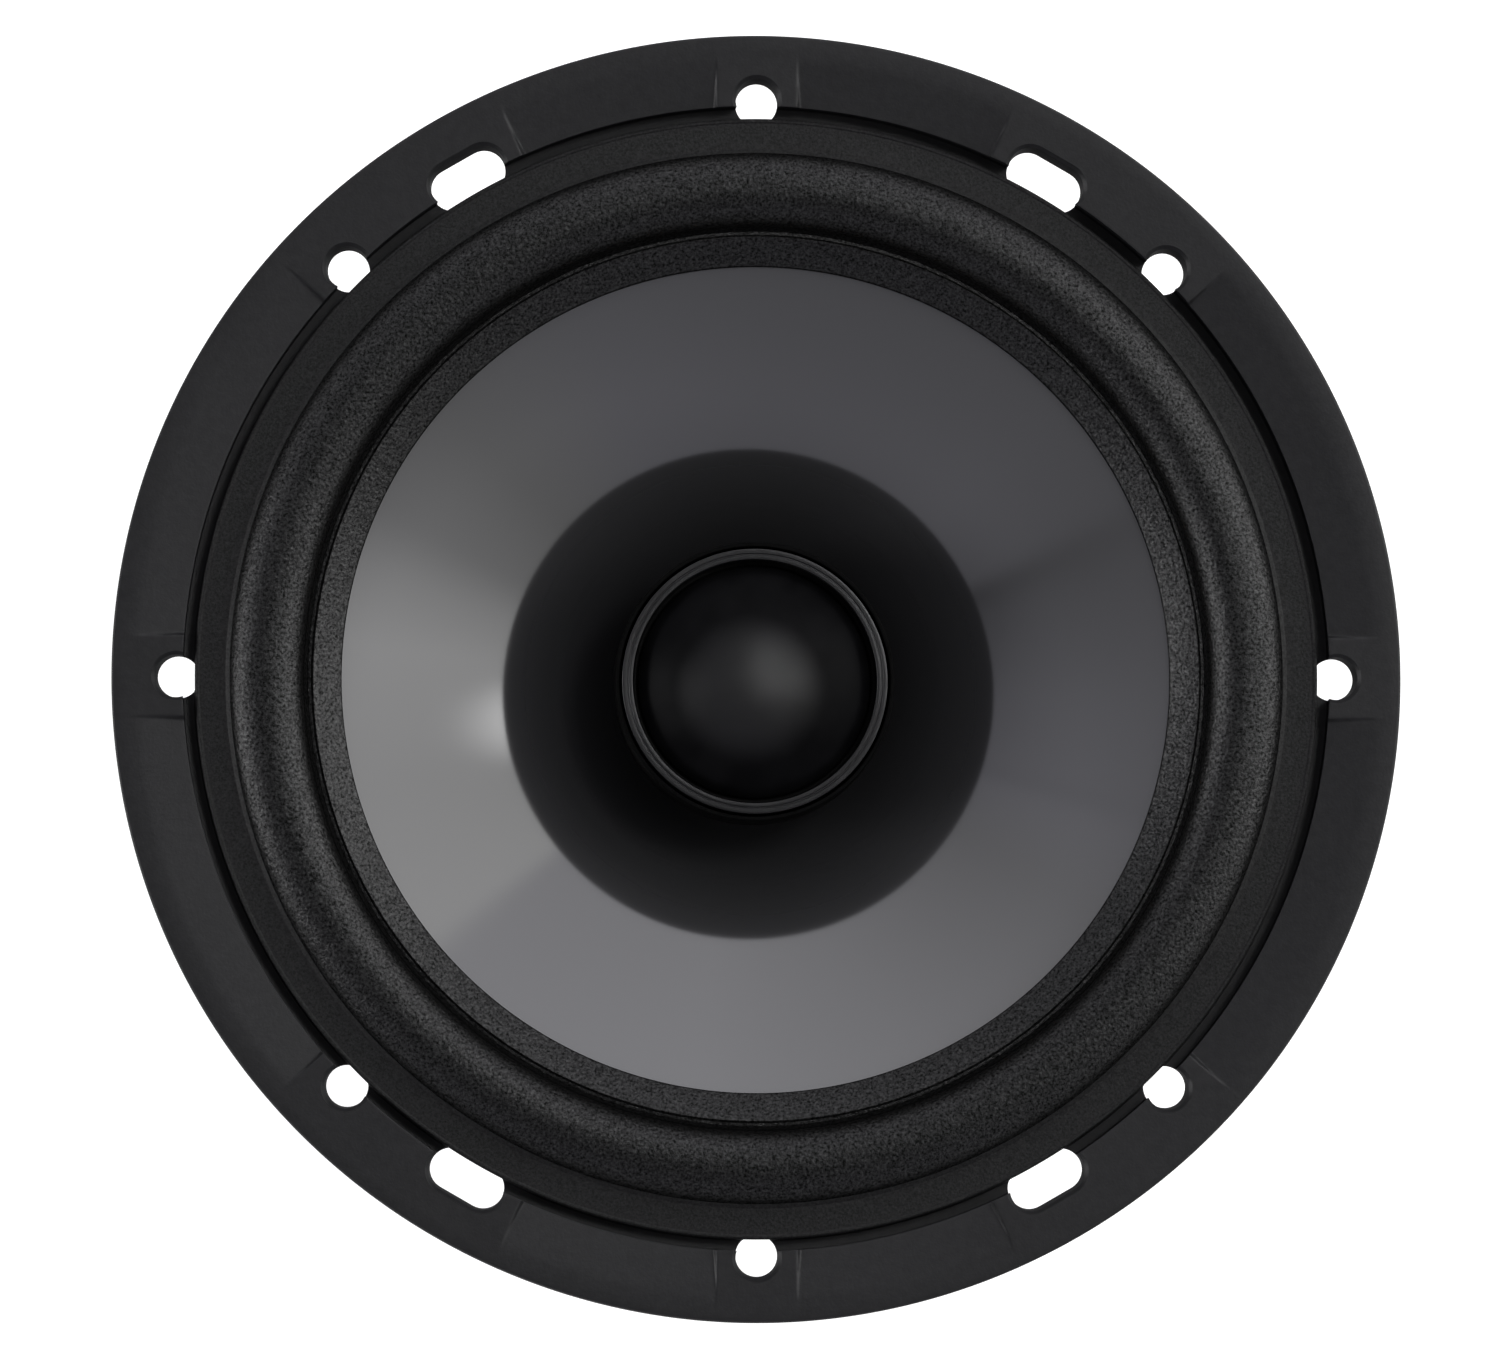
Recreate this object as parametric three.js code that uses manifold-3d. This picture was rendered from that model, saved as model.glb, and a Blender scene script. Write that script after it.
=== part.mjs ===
// A 165 mm coaxial car speaker: an open basket, a cone woofer, and a dome tweeter on a hollow post.
// Millimetres. +Z is the speaker's axis and points at the listener. The origin is the middle of
// the rear face, so the speaker stands on its magnet. The terminals are on the -Y side.

import * as THREE from 'three';
import { mergeVertices } from 'three/addons/utils/BufferGeometryUtils.js';
import Module from 'manifold-3d';

const wasm = await Module();
wasm.setup();

// ---------------------------------------------------------------- driving dimensions

const GAP = 0.3; // left between a piece and its neighbour
const STEPS = { flange: 72, large: 48, medium: 36, small: 24, tiny: 12 }; // sides of a full circle

// Basket: flange, rim wall, six arms, spider shelf and base ring
const FLANGE_R = 83;
const MOUNT_Z = 64; // rear face of the flange, so the mounting depth
const FRONT_Z = 68; // front of the rim and of the screw pads
const EDGE_CHAMFER = 0.4;
const LANDING_R = 73; // outer edge of the recess that takes the surround and gasket
const LANDING_INNER_R = 66.5;
const LANDING_Z = 65.5;
const BODY_R = 70; // nothing behind the flange is wider, for a 142 mm cut-out
const RIM_WALL = { inner: 67, outer: BODY_R, low: 56 };
const POCKET = { inner: 72.8, outer: 80, depth: 1.2 };
const PAD_WIDTH = 10.4;
const PAD_FROM = 41.1; // the wide pads run from here to PAD_TO, and are mirrored in X and Y
const PAD_TO = 65.8;
const HOLE_CIRCLE_R = 74.8;
const HOLE_R = 2.8;
const SLOT = { width: 5.4, length: 10.2, angles: [60, 120, 240, 300] };
const ARM = { count: 6, first: 30, width: 11, thickness: 3.5, slope: 43, r: 57.5, z: 43.5 };
const SHELF = { inner: 37, outer: 45, top: 36.9, thickness: 2 };
const BASE_RING = { inner: 26, outer: 44, low: 28.6, thickness: 2, wall: 3 };
const VENT = { count: 12, first: 15, width: 8, low: 31.1, high: 34.4 };

// Cone, surround, gasket and spider
const CONE = { inner: 13.15, outer: 57.2, low: 40.2, slope: 30, thickness: 0.8, lip: 0.9 };
const ROLL = { inner: 57.2, outer: 67.7, height: 4.2, thickness: 0.6, base: 66.2 };
const ROLL_LIP_R = 53.8; // inner edge of the strip glued on the cone
const GASKET = { inner: 67.9, outer: 72.3, low: 66.3, high: 67.6 };
const SPIDER = { inner: 13.2, outer: 44.5, z: 37.25, thickness: 0.5, wave: 0.8, from: 16, to: 36.6 };

// Motor: vented pole yoke, ferrite ring, top plate and voice coil
const BACK_PLATE = { r: 42.5, low: 2.6, thickness: 6 };
const POLE = { r: 12, top: 29.6, bore: 4.3 };
const NUT_RECESS = { r: 9.5, depth: 3.6 };
const FERRITE = { inner: 20, outer: 45, thickness: 15 };
const TOP_PLATE = { inner: 14, outer: 42.5, thickness: 5 };
const FORMER = { inner: 12.6, outer: 12.85, low: 20, high: 41 };
const WINDING = { inner: 12.9, outer: 13.5, low: 20.1, high: 32.1 };
const BOOT = { lip: 30, inner: 45.3, outer: 47.8, height: 15, round: 1.2, notch: 8 };
const MOTOR_SCREW = { circle: 34, shank: 2, head: 3.8, headHeight: 2.2, length: 6 };

// Tweeter on its post
const POST = { stud: 4, shoulder: 5.5, bore: 2.5, low: 2.9, top: 51.8 };
const NUT = { flats: 13, low: 2.8, high: 5.5 };
const WASHER = { outer: 8.2, low: 5.55, high: 6.15 };
const CUP = { outer: 18.3, wall: 0.8, low: 47.4, chamfer: 50.6, high: 60, floor: 1.8, foot: 9 };
const POT = { outer: 17, wall: 1.5, low: 49.6, floor: 2.4, high: 57.2 };
const TWEETER_MAGNET = { r: 12.8, low: 52.2, high: 55.2 };
const POLE_PLATE = { r: 13.6, low: 55.4, high: 57.2 };
const FELT = { r: 11.5, low: 57.4, high: 58.8 };
const TWEETER_COIL = { inner: 14, outer: 14.5, low: 54.2, high: 58.3 };
const DOME = { r: 14.7, base: 58.5, rise: 6.2, thickness: 0.4 };
const DOME_ROLL = { inner: 15, outer: 17.2, z: 58.1, thickness: 0.4, height: 0.5 };
const TRIM_RING = { inner: 16, outer: 17.3, low: 58.9, high: 60.5 };

// Terminal board on the rear arm, with its own axes: x across, y up the arm, z away from the arm
const BOARD = { width: 32, height: 22, thickness: 1.6, gap: GAP };
const TABS = [
  { name: 'terminal_tab_positive', x: 10.8, width: 6.3 },
  { name: 'terminal_tab_negative', x: -10.8, width: 4.8 },
];
const TAB = { thickness: 0.8, from: -7, to: 1.4, height: 8 };
const RIVET = { x: 0, ys: [-6.5, 0.5], shank: 1.5, head: 2.6, headHeight: 0.8 };
const CAPACITOR = { r: 3.25, length: 15, y: 7, wire: 0.4, wireRun: 4 };
const LEAD_R = 0.6;
const TINSEL_R = 0.7;

// ---------------------------------------------------------------- shape helpers

const radians = THREE.MathUtils.degToRad;

// A closed solid with shared corners, no empty triangles and faces that point out.
function toSolid(geometry) {
  const bare = geometry.clone();
  bare.deleteAttribute('normal');
  bare.deleteAttribute('uv');
  const merged = mergeVertices(bare, 1e-4);
  const positions = merged.attributes.position.array;
  const index = merged.index.array;
  const corners = [new THREE.Vector3(), new THREE.Vector3(), new THREE.Vector3()];
  const triangles = [];
  let volume = 0;
  for (let i = 0; i < index.length; i += 3) {
    const [a, b, c] = index.slice(i, i + 3);
    if (a === b || b === c || c === a) continue;
    triangles.push([a, b, c]);
    corners.forEach((corner, k) => corner.fromArray(positions, 3 * index[i + k]));
    volume += corners[0].dot(corners[1].cross(corners[2])) / 6;
  }
  const outward = volume > 0 ? triangles : triangles.map(([a, b, c]) => [a, c, b]);
  return new wasm.Manifold(
    new wasm.Mesh({
      numProp: 3,
      vertProperties: Float32Array.from(positions),
      triVerts: Uint32Array.from(outward.flat()),
    }),
  );
}

function toGeometry(solid) {
  const mesh = solid.getMesh();
  const geometry = new THREE.BufferGeometry();
  geometry.setAttribute('position', new THREE.BufferAttribute(mesh.vertProperties, 3));
  geometry.setIndex(new THREE.BufferAttribute(mesh.triVerts, 1));
  geometry.computeVertexNormals();
  return geometry;
}

const join = (first, ...rest) => rest.reduce((sum, solid) => sum.add(solid), first);
const cut = (first, ...rest) => rest.reduce((left, solid) => left.subtract(solid), first);

// A solid of revolution about Z. The outline is [r, z] points; one off the axis is closed here.
function turned(outline, steps) {
  const onAxis = outline[0][0] === 0 && outline.at(-1)[0] === 0;
  const closed = onAxis ? outline : [...outline, outline[0]];
  const points = closed.map(([r, z]) => new THREE.Vector2(r, z));
  return toSolid(new THREE.LatheGeometry(points, steps).rotateX(Math.PI / 2));
}

const ring = (inner, outer, low, high, steps) =>
  turned([[inner, low], [outer, low], [outer, high], [inner, high]], steps);

const disc = (r, low, high, steps) => turned([[0, low], [r, low], [r, high], [0, high]], steps);

// A flat outline in the XY plane, thickened from low to high.
function plate(shape, low, high, curveSegments = 6) {
  const depth = high - low;
  const geometry = new THREE.ExtrudeGeometry(shape, { depth, bevelEnabled: false, curveSegments });
  return toSolid(geometry.translate(0, 0, low));
}

const outlineShape = (points) => new THREE.Shape(points.map(([x, y]) => new THREE.Vector2(x, y)));

// An [r, z] outline in the plane at an angle about Z, thickened evenly across that plane.
function radialRib(outline, width, angle) {
  const geometry = new THREE.ExtrudeGeometry(outlineShape(outline), {
    depth: width,
    bevelEnabled: false,
  });
  geometry.translate(0, 0, -width / 2).rotateX(Math.PI / 2).rotateZ(radians(angle));
  return toSolid(geometry);
}

function box(width, depth, height, x, y, z) {
  return toSolid(new THREE.BoxGeometry(width, depth, height).translate(x, y, z));
}

// A ring sector in the XY plane between two angles.
function sector(inner, outer, from, to) {
  const shape = new THREE.Shape();
  shape.absarc(0, 0, outer, radians(from), radians(to), false);
  shape.absarc(0, 0, inner, radians(to), radians(from), true);
  return shape;
}

// A round-ended slot centred on the point at [r, angle], running along the tangent.
function slotAt(r, angle, width, length, low, high) {
  const half = (length - width) / 2;
  const shape = new THREE.Shape();
  shape.absarc(half, 0, width / 2, -Math.PI / 2, Math.PI / 2, false);
  shape.absarc(-half, 0, width / 2, Math.PI / 2, (3 * Math.PI) / 2, false);
  const geometry = new THREE.ExtrudeGeometry(shape, {
    depth: high - low,
    bevelEnabled: false,
    curveSegments: 6,
  });
  geometry.rotateZ(radians(angle + 90));
  geometry.translate(r * Math.cos(radians(angle)), r * Math.sin(radians(angle)), low);
  return toSolid(geometry);
}

function pinAt(r, angle, radius, low, high, steps) {
  const geometry = new THREE.CylinderGeometry(radius, radius, high - low, steps);
  geometry.rotateX(Math.PI / 2).translate(r, 0, (low + high) / 2).rotateZ(radians(angle));
  return toSolid(geometry);
}

// A round wire through the points, with its corners eased by a bend of about the given radius.
function wire(points, radius, bend, steps) {
  const path = new THREE.CurvePath();
  let from = points[0];
  for (let i = 1; i < points.length - 1; i += 1) {
    const corner = points[i];
    const before = corner.clone().sub(points[i - 1]);
    const after = points[i + 1].clone().sub(corner);
    const reach = Math.min(bend, before.length() / 2, after.length() / 2);
    const entry = corner.clone().addScaledVector(before.normalize(), -reach);
    const exit = corner.clone().addScaledVector(after.normalize(), reach);
    if (entry.distanceTo(from) > 1e-3) path.add(new THREE.LineCurve3(from, entry));
    path.add(new THREE.QuadraticBezierCurve3(entry, corner, exit));
    from = exit;
  }
  path.add(new THREE.LineCurve3(from, points.at(-1)));
  const section = outlineShape(
    Array.from({ length: 8 }, (_, i) => {
      const angle = radians(45 * i + 22.5);
      return [radius * Math.cos(angle), radius * Math.sin(angle)];
    }),
  );
  return toSolid(new THREE.ExtrudeGeometry(section, { steps, extrudePath: path }));
}

// ---------------------------------------------------------------- the assembly

const speaker = new THREE.Group();
speaker.name = 'coaxial_speaker';

function addPart(name, solid, finish, parent = speaker) {
  const [color, roughness, metalness] = finish;
  const material = new THREE.MeshStandardMaterial({ color, roughness, metalness, flatShading: true });
  const mesh = new THREE.Mesh(toGeometry(solid), material);
  mesh.name = name;
  parent.add(mesh);
  return mesh;
}

// Finishes: colour, roughness, metalness
const PAINTED = ['#2b2b2d', 0.45, 0.1];
const RUBBER = ['#1c1c1d', 0.8, 0];
const BOOT_RUBBER = ['#161617', 0.75, 0];
const GREY_CONE = ['#77777a', 0.3, 0];
const BLACK_PLASTIC = ['#121213', 0.4, 0];
const SILK = ['#0d0d0e', 0.75, 0];
const PLATED = ['#b9bcc0', 0.35, 1];
const FERRITE_GREY = ['#35363a', 0.6, 0.1];
const COPPER = ['#b5642f', 0.35, 1];
const AMBER_FORMER = ['#a9703a', 0.5, 0];
const SPIDER_CLOTH = ['#c79a4b', 0.9, 0];
const BOARD_BROWN = ['#6b4a2b', 0.7, 0];
const BRASS = ['#c9a55a', 0.35, 1];
const SILVER_BRAID = ['#b4aca0', 0.5, 0.8];
const RED_WIRE = ['#8d1d1a', 0.5, 0];
const BLACK_WIRE = ['#151515', 0.5, 0];
const CAPACITOR_BLUE = ['#24467f', 0.45, 0];
const FELT_GREY = ['#4a4a4a', 0.95, 0];

// ---------------------------------------------------------------- basket

const radialDirection = new THREE.Vector2(Math.cos(radians(ARM.slope)), Math.sin(radians(ARM.slope)));

// The arm's two long faces in its [r, z] plane: depth 0 is the outer one.
function armPoint(r, depth = 0) {
  const faceR = ARM.r - depth * radialDirection.y;
  const faceZ = ARM.z + depth * radialDirection.x;
  return [r, faceZ + (r - faceR) * Math.tan(radians(ARM.slope))];
}

function armAtHeight(z, depth = 0) {
  const [, zThere] = armPoint(ARM.r, depth);
  return [ARM.r + (z - zThere) / Math.tan(radians(ARM.slope)), z];
}

function basketBody() {
  const rim = turned(
    [
      [LANDING_INNER_R, LANDING_Z],
      [LANDING_R, LANDING_Z],
      [LANDING_R, FRONT_Z],
      [FLANGE_R - EDGE_CHAMFER, FRONT_Z],
      [FLANGE_R, FRONT_Z - EDGE_CHAMFER],
      [FLANGE_R, MOUNT_Z],
      [RIM_WALL.outer, MOUNT_Z],
      [RIM_WALL.outer, RIM_WALL.low],
      [RIM_WALL.inner, RIM_WALL.low],
      [LANDING_INNER_R, MOUNT_Z - 1],
    ],
    STEPS.flange,
  );
  const ringTop = BASE_RING.low + BASE_RING.thickness;
  const wallInner = BASE_RING.outer - BASE_RING.wall;
  const cup = turned(
    [
      [BASE_RING.inner, BASE_RING.low],
      [BASE_RING.outer, BASE_RING.low],
      [BASE_RING.outer, SHELF.top - SHELF.thickness],
      [SHELF.outer, SHELF.top - SHELF.thickness],
      [SHELF.outer, SHELF.top],
      [SHELF.inner, SHELF.top],
      [SHELF.inner, SHELF.top - SHELF.thickness],
      [wallInner, SHELF.top - SHELF.thickness],
      [wallInner, ringTop],
      [BASE_RING.inner, ringTop],
    ],
    STEPS.large,
  );
  const armOutline = [
    [wallInner + 1, ringTop + 0.4],
    armAtHeight(ringTop + 0.4),
    armPoint(RIM_WALL.outer - 0.3),
    [RIM_WALL.outer - 0.3, RIM_WALL.low + 3],
    [RIM_WALL.inner + 0.6, RIM_WALL.low + 3],
    [RIM_WALL.inner + 0.6, armPoint(RIM_WALL.inner + 0.6, ARM.thickness)[1]],
    armAtHeight(SHELF.top - 0.2, ARM.thickness),
    [wallInner + 1, SHELF.top - 0.2],
  ];
  const arms = Array.from({ length: ARM.count }, (_, i) =>
    radialRib(armOutline, ARM.width, ARM.first + (i * 360) / ARM.count),
  );
  return join(rim, cup, ...arms);
}

// Pads stand level with the rim; between them the flange dips toward the gasket.
function flangePockets() {
  const floor = (r) => FRONT_Z - (POCKET.depth * (POCKET.outer - r)) / (POCKET.outer - POCKET.inner);
  const above = FRONT_Z + 1;
  const dip = turned(
    [
      [POCKET.inner, floor(POCKET.inner)],
      [POCKET.outer, floor(POCKET.outer)],
      [POCKET.outer, above],
      [POCKET.inner, above],
    ],
    STEPS.flange,
  );
  const narrowPads = [0, 90].map((angle) => {
    const geometry = new THREE.BoxGeometry(2 * FLANGE_R, PAD_WIDTH, 6);
    return toSolid(geometry.rotateZ(radians(angle)).translate(0, 0, FRONT_Z));
  });
  const widePads = [];
  for (const mirror of [(a) => a, (a) => 180 - a, (a) => 180 + a, (a) => 360 - a]) {
    const [from, to] = [mirror(PAD_FROM), mirror(PAD_TO)].sort((a, b) => a - b);
    widePads.push(plate(sector(POCKET.inner - 2, FLANGE_R, from, to), FRONT_Z - 3, above + 2));
  }
  return cut(dip, ...narrowPads, ...widePads);
}

function screwHoles() {
  const low = MOUNT_Z - 1;
  const high = FRONT_Z + 1;
  const round = Array.from({ length: 8 }, (_, i) =>
    pinAt(HOLE_CIRCLE_R, 45 * i, HOLE_R, low, high, 16),
  );
  const slots = SLOT.angles.map((angle) =>
    slotAt(HOLE_CIRCLE_R, angle, SLOT.width, SLOT.length, low, high),
  );
  return [...round, ...slots];
}

function basketVents() {
  const middle = (VENT.low + VENT.high) / 2;
  return Array.from({ length: VENT.count }, (_, i) => {
    const angle = VENT.first + (i * 360) / VENT.count;
    const geometry = new THREE.BoxGeometry(8, VENT.width, VENT.high - VENT.low);
    geometry.translate(BASE_RING.outer - 1, 0, middle).rotateZ(radians(angle));
    return toSolid(geometry);
  });
}

// ---------------------------------------------------------------- terminal board frame

const boardFrame = new THREE.Group();
boardFrame.position.set(0, -ARM.r, ARM.z);
boardFrame.rotation.x = radians(180 - ARM.slope);
boardFrame.updateMatrix();
speaker.add(boardFrame);

const onBoard = (x, y, z) => new THREE.Vector3(x, y, z).applyMatrix4(boardFrame.matrix);
const BOARD_TOP = BOARD.gap + BOARD.thickness;

function rivetHole(y, low, high) {
  const geometry = new THREE.CylinderGeometry(RIVET.shank + GAP, RIVET.shank + GAP, high - low, STEPS.tiny);
  return geometry.rotateX(Math.PI / 2).translate(RIVET.x, y, (low + high) / 2);
}

const armRivetHoles = RIVET.ys.map((y) =>
  toSolid(rivetHole(y, -ARM.thickness - 1, 1).applyMatrix4(boardFrame.matrix)),
);
const screwAngles = [45, 135, 225, 315];
const screwTop = BASE_RING.low + BASE_RING.thickness;
const screwHolesAt = (low, high) =>
  screwAngles.map((a) => pinAt(MOTOR_SCREW.circle, a, MOTOR_SCREW.shank + GAP, low, high, STEPS.tiny));

const basket = cut(
  basketBody(),
  flangePockets(),
  ...screwHoles(),
  ...basketVents(),
  ...armRivetHoles,
  ...screwHolesAt(BASE_RING.low - 1, screwTop + 1),
);
addPart('basket', basket, PAINTED);

// ---------------------------------------------------------------- cone, surround and spider

const coneRise = Math.tan(radians(CONE.slope));
const coneTop = (r) => CONE.low + (r - CONE.inner) * coneRise;
const coneDrop = CONE.thickness / Math.cos(radians(CONE.slope));

addPart(
  'cone',
  turned(
    [
      [CONE.inner, CONE.low - coneDrop - CONE.lip],
      [CONE.inner + CONE.thickness, CONE.low - coneDrop - CONE.lip],
      [CONE.inner + CONE.thickness, coneTop(CONE.inner + CONE.thickness) - coneDrop],
      [CONE.outer, coneTop(CONE.outer) - coneDrop],
      [CONE.outer, coneTop(CONE.outer)],
      [CONE.inner, CONE.low],
    ],
    STEPS.large,
  ),
  GREY_CONE,
);

// A half-roll: its glued strips, and an arch of even thickness between them.
function rollOutline() {
  const half = (ROLL.outer - ROLL.inner) / 2;
  const middle = (ROLL.outer + ROLL.inner) / 2;
  const arch = (grow, from, to) =>
    Array.from({ length: 6 }, (_, i) => {
      const angle = radians(from + ((to - from) * i) / 5);
      return [
        middle + (half + grow) * Math.cos(angle),
        ROLL.base + (ROLL.height + grow) * Math.sin(angle),
      ];
    });
  const lipLow = coneTop(ROLL_LIP_R) + 0.1;
  const lipHigh = coneTop(ROLL.inner) + 0.1;
  return [
    [GASKET.outer, LANDING_Z + 0.1],
    [GASKET.outer, ROLL.base],
    ...arch(0, 0, 180),
    [ROLL_LIP_R, lipLow + ROLL.thickness],
    [ROLL_LIP_R, lipLow],
    [ROLL.inner, lipHigh],
    ...arch(-ROLL.thickness, 170, 0),
    [ROLL.outer - ROLL.thickness, LANDING_Z + 0.1],
  ];
}
addPart('surround', turned(rollOutline(), STEPS.large), RUBBER);
addPart(
  'surround_gasket',
  ring(GASKET.inner, GASKET.outer, GASKET.low, GASKET.high, STEPS.flange),
  RUBBER,
);

// Flat where it is glued, with three waves between.
function spiderOutline() {
  const corners = 6;
  const waves = Array.from({ length: corners + 1 }, (_, i) => {
    const side = i === 0 || i === corners ? 0 : (-1) ** i;
    return [SPIDER.from + ((SPIDER.to - SPIDER.from) * i) / corners, side * SPIDER.wave];
  });
  const line = [[SPIDER.inner, 0], ...waves, [SPIDER.outer, 0]];
  const top = line.map(([r, dz]) => [r, SPIDER.z + dz + SPIDER.thickness / 2]);
  const bottom = line.map(([r, dz]) => [r, SPIDER.z + dz - SPIDER.thickness / 2]);
  return [...bottom, ...top.reverse()];
}
addPart('spider', turned(spiderOutline(), STEPS.medium), SPIDER_CLOTH);

const sleeve = (spec, steps) => ring(spec.inner, spec.outer, spec.low, spec.high, steps);
addPart('voice_coil_former', sleeve(FORMER, STEPS.medium), AMBER_FORMER);
addPart('voice_coil_winding', sleeve(WINDING, STEPS.medium), COPPER);

// ---------------------------------------------------------------- motor

const backPlateTop = BACK_PLATE.low + BACK_PLATE.thickness;
const ferriteTop = backPlateTop + FERRITE.thickness;
addPart(
  'pole_yoke',
  turned(
    [
      [NUT_RECESS.r, BACK_PLATE.low],
      [BACK_PLATE.r, BACK_PLATE.low],
      [BACK_PLATE.r, backPlateTop],
      [POLE.r, backPlateTop],
      [POLE.r, POLE.top],
      [POLE.bore, POLE.top],
      [POLE.bore, BACK_PLATE.low + NUT_RECESS.depth],
      [NUT_RECESS.r, BACK_PLATE.low + NUT_RECESS.depth],
    ],
    STEPS.medium,
  ),
  PLATED,
);
addPart(
  'ferrite_magnet',
  ring(FERRITE.inner, FERRITE.outer, backPlateTop, ferriteTop, STEPS.medium),
  FERRITE_GREY,
);
const topPlate = ring(
  TOP_PLATE.inner,
  TOP_PLATE.outer,
  ferriteTop,
  ferriteTop + TOP_PLATE.thickness,
  STEPS.medium,
);
addPart('top_plate', cut(topPlate, ...screwHolesAt(ferriteTop + 0.6, BASE_RING.low + 1)), PLATED);

screwAngles.forEach((angle, i) => {
  const { circle, shank, head, headHeight, length } = MOTOR_SCREW;
  const screw = join(
    pinAt(circle, angle, shank, screwTop - length, screwTop + 0.5, STEPS.tiny),
    pinAt(circle, angle, head, screwTop, screwTop + headHeight, STEPS.tiny),
  );
  addPart(`motor_screw_${i + 1}`, screw, PLATED);
});

const boot = turned(
  [
    [BOOT.lip, 0],
    [BOOT.outer - BOOT.round, 0],
    [BOOT.outer, BOOT.round],
    [BOOT.outer, BOOT.height],
    [BOOT.inner, BOOT.height],
    [BOOT.inner, backPlateTop - GAP],
    [BACK_PLATE.r + GAP, backPlateTop - GAP],
    [BACK_PLATE.r + GAP, BACK_PLATE.low],
    [BOOT.lip, BACK_PLATE.low],
  ],
  STEPS.medium,
);
addPart(
  'magnet_boot',
  cut(boot, box(BOOT.notch, BOOT.outer, 2 * BOOT.height + 4, 0, -BOOT.lip / 2 - BOOT.outer / 2 - 8, 0)),
  BOOT_RUBBER,
);

// ---------------------------------------------------------------- tweeter

addPart(
  'tweeter_post',
  turned(
    [
      [POST.bore, POST.low],
      [POST.stud, POST.low],
      [POST.stud, POLE.top + GAP],
      [POST.shoulder, POLE.top + GAP],
      [POST.shoulder, CUP.low - GAP],
      [POST.stud, CUP.low - GAP],
      [POST.stud, POST.top],
      [POST.bore, POST.top],
    ],
    STEPS.small,
  ),
  BLACK_PLASTIC,
);
addPart('post_washer', ring(POST.stud + GAP, WASHER.outer, WASHER.low, WASHER.high, STEPS.small), PLATED);

const hexagon = outlineShape(
  Array.from({ length: 6 }, (_, i) => {
    const corner = NUT.flats / Math.sqrt(3);
    return [corner * Math.cos(radians(60 * i)), corner * Math.sin(radians(60 * i))];
  }),
);
addPart(
  'post_nut',
  cut(plate(hexagon, NUT.low, NUT.high), pinAt(0, 0, POST.stud + GAP, 0, NUT.high + 1, STEPS.small)),
  PLATED,
);

addPart(
  'tweeter_cup',
  turned(
    [
      [POST.stud + GAP, CUP.low],
      [CUP.foot, CUP.low],
      [CUP.outer, CUP.chamfer],
      [CUP.outer, CUP.high],
      [CUP.outer - CUP.wall, CUP.high],
      [CUP.outer - CUP.wall, CUP.chamfer + 0.6],
      [CUP.foot + 2, CUP.low + CUP.floor],
      [POST.stud + GAP, CUP.low + CUP.floor],
    ],
    STEPS.medium,
  ),
  BLACK_PLASTIC,
);
addPart(
  'tweeter_pot',
  turned(
    [
      [POST.stud + GAP, POT.low],
      [CUP.foot + 1.4, POT.low],
      [POT.outer, POT.low + POT.floor],
      [POT.outer, POT.high],
      [POT.outer - POT.wall, POT.high],
      [POT.outer - POT.wall, POT.low + POT.floor],
      [POST.stud + GAP, POT.low + POT.floor],
    ],
    STEPS.medium,
  ),
  PLATED,
);
const tweeterDisc = (spec) => disc(spec.r, spec.low, spec.high, STEPS.small);
addPart('tweeter_magnet', tweeterDisc(TWEETER_MAGNET), PLATED);
addPart('tweeter_pole_plate', tweeterDisc(POLE_PLATE), PLATED);
addPart('tweeter_damping_felt', tweeterDisc(FELT), FELT_GREY);
addPart('tweeter_coil', sleeve(TWEETER_COIL, STEPS.medium), COPPER);

// A spherical cap of even thickness.
function domeOutline() {
  const cap = (drop) => {
    const r = DOME.r - drop;
    const rise = DOME.rise - drop;
    const sphere = (r * r + rise * rise) / (2 * rise);
    const half = Math.asin(r / sphere);
    return Array.from({ length: 5 }, (_, i) => {
      const angle = half * (1 - i / 4);
      const x = i === 4 ? 0 : sphere * Math.sin(angle);
      return [x, DOME.base + rise - sphere * (1 - Math.cos(angle))];
    });
  };
  return [...cap(0).reverse(), ...cap(DOME.thickness)];
}
addPart('tweeter_dome', turned(domeOutline(), STEPS.medium), SILK);

const domeRollMiddle = (DOME_ROLL.inner + TRIM_RING.inner) / 2;
addPart(
  'tweeter_surround',
  turned(
    [
      [DOME_ROLL.inner, DOME_ROLL.z],
      [domeRollMiddle, DOME_ROLL.z + DOME_ROLL.height],
      [TRIM_RING.inner, DOME_ROLL.z],
      [DOME_ROLL.outer, DOME_ROLL.z],
      [DOME_ROLL.outer, DOME_ROLL.z + DOME_ROLL.thickness],
      [TRIM_RING.inner, DOME_ROLL.z + DOME_ROLL.thickness],
      [domeRollMiddle, DOME_ROLL.z + DOME_ROLL.thickness + DOME_ROLL.height],
      [DOME_ROLL.inner, DOME_ROLL.z + DOME_ROLL.thickness],
    ],
    STEPS.medium,
  ),
  SILK,
);
addPart('tweeter_trim_ring', sleeve(TRIM_RING, STEPS.medium), PLATED);

// ---------------------------------------------------------------- terminals and leads

const boardBlank = box(BOARD.width, BOARD.height, BOARD.thickness, 0, 0, BOARD.gap + BOARD.thickness / 2);
const boardHoles = RIVET.ys.map((y) => toSolid(rivetHole(y, 0, BOARD_TOP + 1)));
addPart('terminal_board', cut(boardBlank, ...boardHoles), BOARD_BROWN, boardFrame);

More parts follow.
